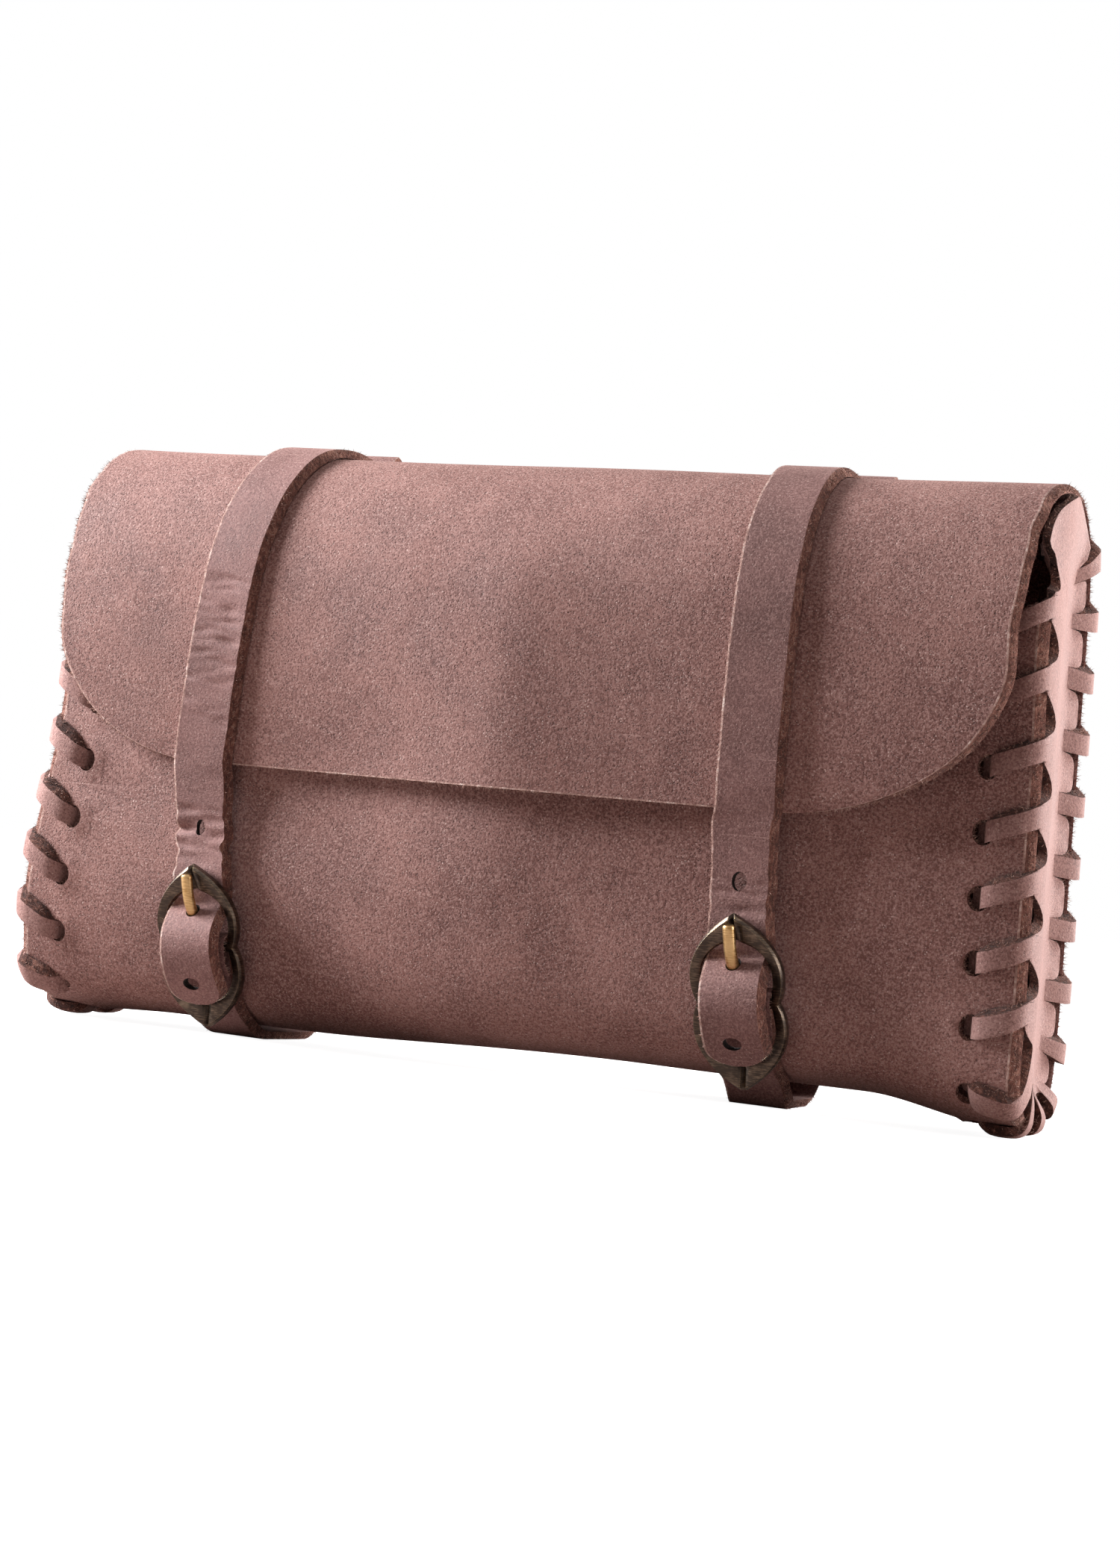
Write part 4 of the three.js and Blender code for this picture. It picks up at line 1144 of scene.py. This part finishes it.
# %% [markdown]
# The outer line of a loop is a pair of smooth curves that meet in a point; the opening is rounder. Only
# one half is drawn, and the other half is its mirror image.

# %% Lines of a loop
def curve_points(a, b, c, d, count):
    """Points of a cubic curve from a to d with handles b and c."""
    t = np.linspace(0, 1, count)[:, None]
    a, b, c, d = (np.array(p, float) for p in (a, b, c, d))
    return a * (1 - t)**3 + 3 * b * t * (1 - t)**2 + 3 * c * t**2 * (1 - t) + d * t**3


GROWN = np.array([1.03, 1.06])      # the drawn lines are widened and lengthened by these factors
OUTER_WAIST, INNER_WAIST, BAR_LOW, BAR_HIGH, BAR_POINTS = 10.2, 8.3, -1.05, 1.1, 11


def both_sides(half):
    """A half line from the right waist to the point, with its mirror image after it."""
    return np.vstack([half, half[-2::-1] * [-1, 1]]) * GROWN


outer_half = np.vstack([curve_points((OUTER_WAIST, 0), (11.0, 1.2), (11.7, 3.2), (11.7, 6.0), 10)[:-1],
                        curve_points((11.7, 6.0), (11.7, 12.0), (6.5, 17.6), (0, 21.0), 26)])
inner_half = np.vstack([curve_points((INNER_WAIST, BAR_HIGH), (8.5, 2.5), (8.9, 4.0), (8.9, 6.0), 10)[:-1],
                        curve_points((8.9, 6.0), (8.9, 10.6), (5.2, 14.2), (0, 14.6), 26)])
bar_x = np.linspace(-1, 1, BAR_POINTS + 2)[1:-1]
outer_line, inner_line = (
    np.vstack([both_sides(half), np.column_stack([bar_x * waist, np.full(BAR_POINTS, height)])])
    for half, waist, height in ((outer_half, OUTER_WAIST, BAR_LOW), (inner_half, INNER_WAIST, BAR_HIGH)))
on_bar = np.arange(len(outer_line)) >= len(outer_line) - BAR_POINTS
print("points round a loop", len(outer_line))

# %% [markdown]
# The facets of the cross-section are a narrow outer bevel, a ridge and a broad inner slope, and the point
# carries a notch in which the prong rests. Each facet is one extrusion of the ring of points, and a
# bridge closes the last one to the first.

# %% One loop of the casting
# share of the way inwards, height above the buckle's plane
FACETS = ((0.0, -1.1), (0.0, 0.6), (0.13, 1.4), (0.9, 0.7), (1.0, 0.3), (1.0, -1.1))
NOTCH_DEPTH, NOTCH_TIP, NOTCH_RUN, NOTCH_FOOT = 1.7, 22.2, 7.0, 12
TWIN_BAR = 0.97             # the twin's bar is slightly thinner, so that no two faces coincide


def facet_points(share, height):
    """One line of the cross-section round the loop, and its height, lower in the notch."""
    across_up = outer_line + (inner_line - outer_line) * share
    rise = np.full(len(outer_line), height)
    rise[on_bar] = np.clip(rise[on_bar], -0.8, 0.6)
    notch_half = 0.25 + 1.7 * np.clip((NOTCH_TIP - across_up[:, 1]) / NOTCH_RUN, 0, 1)
    notch = np.maximum(0, 1 - np.abs(across_up[:, 0]) / notch_half) * (across_up[:, 1] > NOTCH_FOOT)
    rise -= NOTCH_DEPTH * notch * (height > 0)
    return across_up, rise


def loop_ring(name, place, turn):
    """One loop as a closed ring; turn is 1 for the upper loop and -1 for the lower."""
    count = len(outer_line)
    bpy.ops.mesh.primitive_circle_add(vertices=count, radius=1.0)
    ring = added(name, antique_brass, rubbed_brass)
    slim = 1.0 if turn > 0 else TWIN_BAR

    def lay(share, height):
        across_up, rise = facet_points(share, height)
        rise = np.where(on_bar, rise * slim, rise)
        return to_frame(in_buckle(place, turn * across_up[:, 0], turn * across_up[:, 1], rise))

    set_points(ring, lay(*FACETS[0]))
    in_edit_mode(ring)
    for facet in FACETS[1:]:
        grow(ring, lay(*facet))
    ends = set(range(count)) | set(range(len(ring.data.vertices) - count, len(ring.data.vertices)))
    for edge in ring.data.edges:
        a, b = edge.vertices
        edge.select = a in ends and b in ends and (a < count) == (b < count)
    bpy.ops.object.mode_set(mode="EDIT")
    bpy.ops.mesh.select_mode(type="EDGE")
    bpy.ops.mesh.bridge_edge_loops()
    bpy.ops.object.mode_set(mode="OBJECT")
    in_edit_mode(ring, OUTWARDS)
    return ring


# %% [markdown]
# Boolean unites the two loops in their common bar. The bevel's new faces get the second finish, which is
# the brass that hands and straps have rubbed bright.

# %% Make the buckles
RUBBED_WIDTH = 0.34


def buckle(name, side):
    """A buckle of two loops in one casting, its edges rubbed bright."""
    place = STRAPS[side]["frame"]
    casting = loop_ring(name, place, 1)
    twin = loop_ring("lower_loop", place, -1)
    modifier(casting, "BOOLEAN", operation="UNION", object=twin, solver="EXACT")
    bpy.data.objects.remove(twin)
    modifier(casting, "BEVEL", width=RUBBED_WIDTH * MM, segments=2, limit_method="ANGLE",
             angle_limit=math.radians(24), material=1)
    shade(casting, angle=30.0)
    settle(casting, "antique_brass", f"buckle_{side}")


for side in STRAPS:
    buckle(f"cast_buckle_{side}", side)

# %% [markdown]
# ## The prongs
# A prong is a thick brass wire, bent round the bar behind and cut off square in front. A small rounded
# outline is extruded along its path.

# %% Make the prongs
PRONG_ARM = ((0.6, 4.8), (0.9, 7.2), (2.3, 10.2), (3.2, 13.2), (3.4, 16.8), (3.2, 20.2))
PRONG_RING, WIRE_STEP = 2.8, 0.55
WIRE_SIDES, WIRE_FLATNESS = 18, 0.88
RING_RADIUS, ARM_EXTRA, TIP_SHARE = 0.95, 0.6, 0.86      # of the wire itself, thicker along its arm


def tube(name, path, across, radius, finish):
    """A wire along a drawn path; across holds one direction in its cross-section."""
    bpy.ops.mesh.primitive_circle_add(vertices=WIRE_SIDES, radius=1.0, fill_type="NGON")
    wire = added(name, finish)
    turn = 2 * math.pi * np.arange(WIRE_SIDES) / WIRE_SIDES
    along = unit(np.gradient(path, axis=0))
    first = unit(across)
    second = unit(np.cross(along, first))

    def lay(k):
        round_x, round_y = np.cos(turn), np.sin(turn) * WIRE_FLATNESS
        return to_frame(path[k] + radius[k] * (np.outer(round_x, first) + np.outer(round_y, second[k])))

    set_points(wire, lay(0))
    in_edit_mode(wire)
    for k in range(1, len(path)):
        grow(wire, lay(k))
    in_edit_mode(wire, OUTWARDS)
    return wire


def prong(name, side):
    """A prong on its buckle's bar: three quarters of a ring and an arm through the strap."""
    place = STRAPS[side]["frame"]
    turns = np.radians(np.arange(-20, -261, -20))
    ring = np.column_stack([PRONG_RING * np.cos(turns), PRONG_RING * np.sin(turns)])
    bent = even_path(np.vstack([ring, PRONG_ARM]), WIRE_STEP)
    path = in_buckle(place, np.zeros(len(bent)), bent[:, 1], bent[:, 0])
    radius = RING_RADIUS + ARM_EXTRA * smoothstep(np.arange(len(bent)) / len(bent), 0.42, 0.62)
    radius[-1] *= TIP_SHARE
    wire = tube(name, path, place[1], radius, prong_brass)
    modifier(wire, "BEVEL", width=0.25 * MM, segments=2, limit_method="ANGLE",
             angle_limit=math.radians(50))
    shade(wire, angle=40.0)
    settle(wire, "worn_brass", f"prong_{side}")


for side in STRAPS:
    prong(f"brass_prong_{side}", side)

# %% [markdown]
# ## The straps
# A strap starts folded round the buckle's bar, goes under the bag, up the back, over the top and down
# the flap, runs straight on to the buckle and threads through it. Its right edge was cut at a slant, so
# a broad brown cut shows beside the grain. Cross wrinkles gather where it was bent.

# %% Paths of the straps
STRAP_LEATHER, STRAP_HALF = 2.3, 7.5
FOLD_PATH = ((0.9, -7.0), (2.2, -4.2), (2.45, -0.8), (2.2, 1.5), (0.9, 2.6), (-0.9, 2.6), (-2.2, 1.5),
             (-2.45, -0.8), (-2.6, -4.5))
TONGUE_PATH = ((-3.1, 19.0), (-2.9, 15.0), (-1.2, 11.0), (2.2, 8.7), (5.6, 5.3), (7.1, 0.8), (6.7, -4.2),
               (5.3, -8.6), (3.8, -11.4), (2.4, -13.4), (1.4, -14.6))
STEP_DOWN = np.array([69.3, 62.5, 55.4, 49.0])        # heights between the flap's edge and the buckle
STEP_SAG = 0.9              # on that way it sags a little towards the front panel
LAID_STOPS = 66
STRAP_STEP = 0.6
STRAP_GAP = 0.35


def strap_centre(data, u):
    """Where the strap's middle lies across the bag at a place along it."""
    under = smoothstep(u, ROW["turn_front"], ROW["under_back"])
    low = data["buckle"] + (data["back"] - data["buckle"]) * under
    top = low + (data["ridge"] - low) * smoothstep(u, ROW["back_high"], ROW["ridge"])
    return top + (data["edge"] - top) * np.clip((u - ROW["ridge"]) / (LAST - ROW["ridge"]), 0, 1)


def strap_path(data):
    """Centre line of a strap, the direction across it at each point, and the spare hole's place."""
    place = data["frame"]
    fold, tongue = np.array(FOLD_PATH), np.array(TONGUE_PATH)
    fold_points = in_buckle(place, np.zeros(len(fold)), fold[:, 1], fold[:, 0])
    tongue_points = in_buckle(place, np.zeros(len(tongue)), tongue[:, 1], tongue[:, 0])
    u = np.linspace(ROW["turn_front"], LAST, LAID_STOPS)
    slack = 0.3 * (1 - smoothstep(u, ROW["turn_front"], ROW["turn_front"] + 1))
    lift = STRAP_GAP + STRAP_LEATHER / 2 + slack
    middle_x = strap_centre(data, u)
    laid = panel(u, middle_x, lift)
    laid_across = unit(panel(u, middle_x + 6, lift) - panel(u, middle_x - 6, lift))
    under = smoothstep(u, ROW["turn_front"] + 0.4, ROW["under_front"] + 0.3)
    under *= 1 - smoothstep(u, ROW["under_back"], ROW["turn_back"])
    laid[:, 2] += (STRAP_LEATHER / 2 - laid[:, 2]) * under
    low, high = tongue_points[0], laid[-1]
    drop = (high[2] - STEP_DOWN) / (high[2] - low[2])
    step_x = data["step"] + (low[0] - data["step"]) * drop
    step_y = high[1] + (low[1] - high[1]) * drop + STEP_SAG * np.sin(math.pi * drop)
    step = np.column_stack([step_x, step_y, STEP_DOWN])
    stops = np.vstack([fold_points, laid, step, tongue_points])
    ways = np.vstack([np.tile(place[1], (len(fold), 1)), laid_across,
                      np.tile([1.0, 0.0, 0.0], (len(step), 1)), np.tile(place[1], (len(tongue), 1))])
    path = even_path(np.column_stack([stops, ways]), STRAP_STEP)
    return path[:, :3], unit(path[:, 3:]), step[2]


# %% [markdown]
# Creases are pressed into the rows one by one, each a short dent that runs across the strap. The left
# strap was bent most: its creases gather above the flap's edge, and round the spare hole it is crumpled
# up to its edges. The right strap only has small creases above its buckle.

# %% Creases of a strap
STRAP_COLUMNS = np.array([-1.0, -0.93, -0.86, -0.78, -0.62, -0.46, -0.3, -0.15, 0.0,
                          0.15, 0.3, 0.46, 0.62, 0.78, 0.9, 0.97, 1.0])
HOLE_Z = STEP_DOWN[2]
CRUMPLES = {
    # height, rise across, middle, span, depth, half width
    "left": [(HOLE_Z - 0.3, 0.06, -5.6, 4.4, 2.0, 1.2), (HOLE_Z + 2.8, -0.1, 5.5, 3.4, 0.55, 1.1),
             (HOLE_Z - 2.6, 0.12, 4.5, 4.0, 0.5, 1.2), (HOLE_Z - 5.8, -0.2, -5.5, 3.4, 0.7, 1.2),
             (HOLE_Z + 4.6, 0.1, -4.0, 4.5, 0.4, 1.2)],
    "right": [(HOLE_Z - 1.0, 0.1, 6.5, 2.0, 0.3, 1.0), (HOLE_Z - 6.5, -0.2, 5.5, 2.0, 0.3, 1.0)],
}
RANDOM_CREASES = {
    # lowest, highest, count, depth
    "left": ((84, 122, 40, 0.42), (45, 61, 18, 0.4)),
    "right": ((42, 58, 16, 0.3),),
}
FRONT_Y = -24               # everything before this depth is the strap's front
DEEPEST_DENT = 1.7
WORN_HEIGHTS, WORN_PLACES, EDGE_RIPPLE = (44, 62), 9, 0.08


def creases(side):
    """The listed creases and random ones, as rows of the same six numbers."""
    rng = np.random.default_rng(STRAPS[side]["crease_seed"])
    rows = list(CRUMPLES[side])
    for low, high, count, deep in RANDOM_CREASES[side]:
        for _ in range(count):
            rows.append((rng.uniform(low, high), rng.uniform(-0.3, 0.15), rng.uniform(-7, 7),
                         rng.uniform(2.0, 5.0), deep * rng.uniform(0.3, 1.0), rng.uniform(0.7, 1.2)))
    return np.array(rows)


def dented(path, sideways, rows):
    """Height of the creased leather at points of the strap's front."""
    height = np.zeros(len(path))
    for z, rise, middle, span, depth, half in rows:
        away = (path[:, 2] - z - rise * sideways) / half
        height -= depth * (1 - 0.35 * away**2) * np.exp(-away**2 - ((sideways - middle) / span) ** 2)
    return np.maximum(height * (path[:, 1] < FRONT_Y), -DEEPEST_DENT)


def worn_edge(path, seed, amount):
    """How far the strap's edge is worn in: a little everywhere, more round the spare hole."""
    rng = np.random.default_rng(seed)
    height = path[:, 2] + 1000 * (path[:, 1] > FRONT_Y)
    worn = np.zeros(len(path))
    for z in rng.uniform(*WORN_HEIGHTS, WORN_PLACES):
        worn += amount * rng.uniform(0.3, 1.0) * np.exp(-((height - z) / rng.uniform(0.9, 1.6)) ** 2)
    distance = STRAP_STEP * np.arange(len(path))
    return worn + EDGE_RIPPLE * np.sin(distance / 3.1 + seed) * np.sin(distance / 7.7)


# %% [markdown]
# A ribbon is the general tool: a grid laid along a path, thickened and softened, with its right edge cut
# at a slant and its left edge pale, grain worn pale with a painted highlight. The straps and the belt
# loops are both made with it.

# %% A ribbon of leather
FLESH_FOLLOWS = 0.3         # share of a dent that still shows on the flesh side


def ribbon(name, path, across, half_left, half_right, thickness, cut_run, finishes, relief=None):
    """A strip of leather along a path, its grain side outwards and its right edge cut at a slant."""
    piece, column, row = flat_grid(name, len(STRAP_COLUMNS), len(path), finishes)
    along = unit(np.gradient(path, axis=0))
    out = unit(np.cross(along, across))
    sideways = np.where(STRAP_COLUMNS[column] < 0, STRAP_COLUMNS[column] * half_left[row],
                        STRAP_COLUMNS[column] * half_right[row])
    middle = path[row] + across[row] * sideways[:, None]
    dent = np.zeros(len(row)) if relief is None else relief(path[row], sideways)
    set_points(piece, to_frame(middle + out[row] * (thickness / 2 + dent)[:, None]))
    normals = np.empty(3 * len(piece.data.vertices))
    piece.data.vertices.foreach_get("normal", normals)
    if (normals.reshape(-1, 3) * out[row]).sum() < 0:
        in_edit_mode(piece, (bpy.ops.mesh.flip_normals, {}))
    count = thicken(piece, thickness)
    points = points_of(piece)
    slanted = across[row] * (cut_run * (column == len(STRAP_COLUMNS) - 1))[:, None]
    points[count:] = to_frame(middle + slanted + out[row] * (FLESH_FOLLOWS * dent - thickness / 2)[:, None])
    set_points(piece, points)
    # the left edge gets the pale arris: worn grain with a painted highlight where the light catches it
    wear_and_highlight_border(piece, count, column < 2)
    soften(piece, 0.4)
    return piece


# %% [markdown]
# A strap is a ribbon with a rounded end, creases and three holes: the spare one, the one in the tongue
# below the buckle's bar, and the one that the prong passes.

# %% Make the straps
CUT_RUN = 1.6               # how far the slanted cut runs out on the flesh side
END_ROUND = 6.0
TONGUE_HOLE, TONGUE_HOLE_STOP = (2.4, 1.8), TONGUE_PATH[7]
ARM_HOLE = (1.95, 2.1)


def rounded_end(path, plain):
    """Half width along the strap: it is rounded off at the end below the buckle."""
    end = np.linalg.norm(path - path[-1], axis=1)
    late = np.arange(len(path)) > len(path) // 2
    half = np.full(len(path), plain)
    near = (end < END_ROUND) & late
    half[near] *= np.sqrt(np.clip(1 - ((END_ROUND - end[near]) / END_ROUND) ** 2, 0.04, 1))
    return half


def strap(name, side):
    """A closing strap with its three holes."""
    data = STRAPS[side]
    place = data["frame"]
    path, across, spare = strap_path(data)
    rows = creases(side)
    half = rounded_end(path, STRAP_HALF)
    half_left, half_right = (half - worn_edge(path, seed, data["worn"]) for seed in (2, 8))
    piece = ribbon(name, path, across, half_left, half_right, STRAP_LEATHER, CUT_RUN,
                   (data["finish"], raw_cut, arris, painted_shade_hole_wall),
                   lambda points, sideways: dented(points, sideways, rows))
    arm = in_buckle(place, np.zeros(3), *np.array(PRONG_ARM[:3]).T[::-1])
    arm_way = unit(arm[2] - arm[0])
    off, up = TONGUE_HOLE_STOP
    holes = (
        # centre, directions across, up and out, half sizes, depth
        (spare, (1, 0, 0), (0, 0, 1), (0, -1, 0), *data["spare_hole"], 8.0),
        (in_buckle(place, [0], [up], [off])[0], *place[1:], *TONGUE_HOLE, 26.0),
        (arm[1], place[1], np.cross(place[1], arm_way), arm_way, *ARM_HOLE, 17.0),
    )
    for centre, way_across, way_up, way_out, half_across, half_up, deep in holes:
        tool = punch_tool("strap_punch", [to_frame(centre)], [way_across], [way_up], [way_out],
                          half_across, half_up, deep)
        # the hole walls get the nearly black finish, a painted shade
        cut(piece, tool, PAINTED_SHADE_HOLE_WALL)
    fuzz(piece, count=4200, longest=1.3, seed=data["fibre_seed"])
    shade(piece)
    settle(piece, "strap_leather", f"strap_{side}")


for side in STRAPS:
    strap(f"closing_strap_{side}", side)

# %% [markdown]
# ## The belt loops
# Behind each strap a shorter strip is sewn on at both ends and bows out, so that a belt can pass. Only
# the top of the bow can be seen from the front. The sewing at the lower end shows from behind: one
# stitch is a small stretched ball, and two Array modifiers repeat it in two rows.

# %% Make the belt loops
BELT_LOOP_LEATHER = 2.2
LOOP_LOW = ((33.9, 48), (33.9, 60), (36.4, 70), (41.0, 80), (43.2, 92), (43.2, 108), (43.2, 124))
LOOP_HIGH = ((43.2, 17), (41.8, 5.5), (38.6, 0.6), (35.4, 2.6), (33.9, 10), (33.8, 22), (33.9, 44))
LOOP_STEP, LEAN_HEIGHTS = 1.5, (110, 162)
STITCH_HALF = (1.1, 0.4, 0.4)
STITCH_FIRST = (-4.5, 35.1, 51.0)
STITCH_STEP, ROW_STEP = 3.0, 6.5


def sew(piece, middle_x):
    """Two rows of stitches through the lower end of a belt loop, joined to it."""
    bpy.ops.mesh.primitive_uv_sphere_add(segments=10, ring_count=6, radius=1.0)
    stitch = added("stitches", thread)
    first = to_frame(np.array([middle_x, 0.0, 0.0]) + STITCH_FIRST)
    set_points(stitch, points_of(stitch) * STITCH_HALF * MM + first)
    for count, step in ((4, (STITCH_STEP * MM, 0, 0)), (2, (0, 0, ROW_STEP * MM))):
        modifier(stitch, "ARRAY", count=count, use_relative_offset=False, use_constant_offset=True,
                 constant_offset_displace=step)
    join(piece, stitch)


def belt_loop(name, side):
    """A belt loop behind its strap, with its sewing."""
    data = STRAPS[side]
    top = data["loop_top"] - BELT_LOOP_LEATHER / 2
    stops = np.array([(data["back"], y, z) for y, z in LOOP_LOW]
                     + [(data["back"], y, top - drop) for y, drop in LOOP_HIGH])
    stops[:, 0] += data["lean"] * smoothstep(stops[:, 2], *LEAN_HEIGHTS)
    path = even_path(stops, LOOP_STEP)
    across = np.tile([1.0, 0.0, 0.0], (len(path), 1))
    half = np.full(len(path), STRAP_HALF)
    piece = ribbon(name, path, across, half, half, BELT_LOOP_LEATHER, 0.0,
                   (data["finish"], raw_cut, arris))
    sew(piece, data["back"])
    shade(piece)
    settle(piece, "strap_leather", f"belt_loop_{side}")


for side in STRAPS:
    belt_loop(f"belt_loop_strip_{side}", side)

# %% [markdown]
# ## Floor and light
# The bag stands on a plain white sheet. The camera sees the sheet as glowing white, while the light that
# it throws back on the bag comes from a dull, darker surface, so the bag's lower half stays dark.

# %% Floor
bpy.ops.mesh.primitive_circle_add(vertices=64, radius=30.0, fill_type="NGON", location=(0, 0, 0))
f = Finish("pale_floor")
f.shade(Base_Color=(0.5, 0.5, 0.5, 1.0), Roughness=0.9, Specular_IOR_Level=0.1,
        Emission_Color=(1.0, 1.0, 1.0, 1.0), Emission_Strength=0.93)
dull = f.node("ShaderNodeBsdfDiffuse", None, {"Color": (0.36, 0.3, 0.28, 1.0)})
seen = f.node("ShaderNodeLightPath", None, None, "Is Camera Ray")
surface = f.node("ShaderNodeMixShader", None,
                 {0: seen, 1: dull, 2: Value(f, f.shader.outputs["BSDF"])})
f.tree.links.new(surface.socket, f.tree.nodes["Material Output"].inputs["Surface"])
floor = added("floor", f.material)
print("floor", floor.name)

# %% [markdown]
# One large soft light stands at the left and lights the flap and the top. Another stands behind the right
# end and makes the gusset bright while the front beside it stays dark, and a small one fills that end in.
# A weak ceiling lamp lifts the top.

# %% Lights
LIGHTS = (
    # name, place, target, size, power, colour
    ("left_window", (-0.74, -0.18, 0.41), (-0.03, -0.02, 0.1), 0.34, 22.8, (0.97, 0.98, 1.0)),
    ("right_window", (0.55, 0.58, 0.24), (0.12, 0.0, 0.08), 0.45, 11.0, (1.0, 0.97, 0.96)),
    ("right_fill", (0.62, 0.03, 0.2), (0.13, 0.0, 0.08), 0.2, 2.0, (1.0, 0.97, 0.96)),
    ("ceiling", (0.0, -0.12, 0.85), (0.0, 0.0, 0.1), 0.6, 1.3, (1.0, 1.0, 1.0)),
)
for name, place, target, size, power, colour in LIGHTS:
    bpy.ops.object.light_add(type="AREA", location=place)
    light = bpy.context.object
    light.name = name
    light.data.energy = power
    light.data.size = size
    light.data.color = colour
    way = Vector(target) - Vector(place)
    light.rotation_euler = way.to_track_quat("-Z", "Y").to_euler()
print("lights", [light[0] for light in LIGHTS])

# %% [markdown]
# The camera sees a white background. The bag itself sees a much weaker, warm sky, which fills its shadows
# and is a little stronger in mirrored light, so that the brass has something to reflect.

# %% Sky
WARM_SKY, WHITE = (1.0, 0.87, 0.82, 1.0), (1.0, 1.0, 1.0, 1.0)
SKY_STRENGTH = 0.14
STRONGER_SKY = (("Is Camera Ray", 0.86), ("Is Glossy Ray", 0.4))     # added where these rays look
world = bpy.data.worlds.new("studio")
bpy.context.scene.world = world
world.use_nodes = True
nodes, links = world.node_tree.nodes, world.node_tree.links
sky = nodes["Background"]
path = nodes.new("ShaderNodeLightPath")
sky_colour = nodes.new("ShaderNodeMix")
sky_colour.data_type = "RGBA"
sky_colour.inputs[6].default_value, sky_colour.inputs[7].default_value = WARM_SKY, WHITE
links.new(path.outputs["Is Camera Ray"], sky_colour.inputs[0])
links.new(sky_colour.outputs[2], sky.inputs["Color"])
strength = None
for output, more in STRONGER_SKY:
    maths = nodes.new("ShaderNodeMath")
    maths.operation = "MULTIPLY_ADD"
    links.new(path.outputs[output], maths.inputs[0])
    maths.inputs[1].default_value = more
    if strength is None:
        maths.inputs[2].default_value = SKY_STRENGTH
    else:
        links.new(strength, maths.inputs[2])
    strength = maths.outputs[0]
links.new(strength, sky.inputs["Strength"])
bpy.context.scene.view_settings.view_transform = "Standard"
print("sky strength", SKY_STRENGTH)
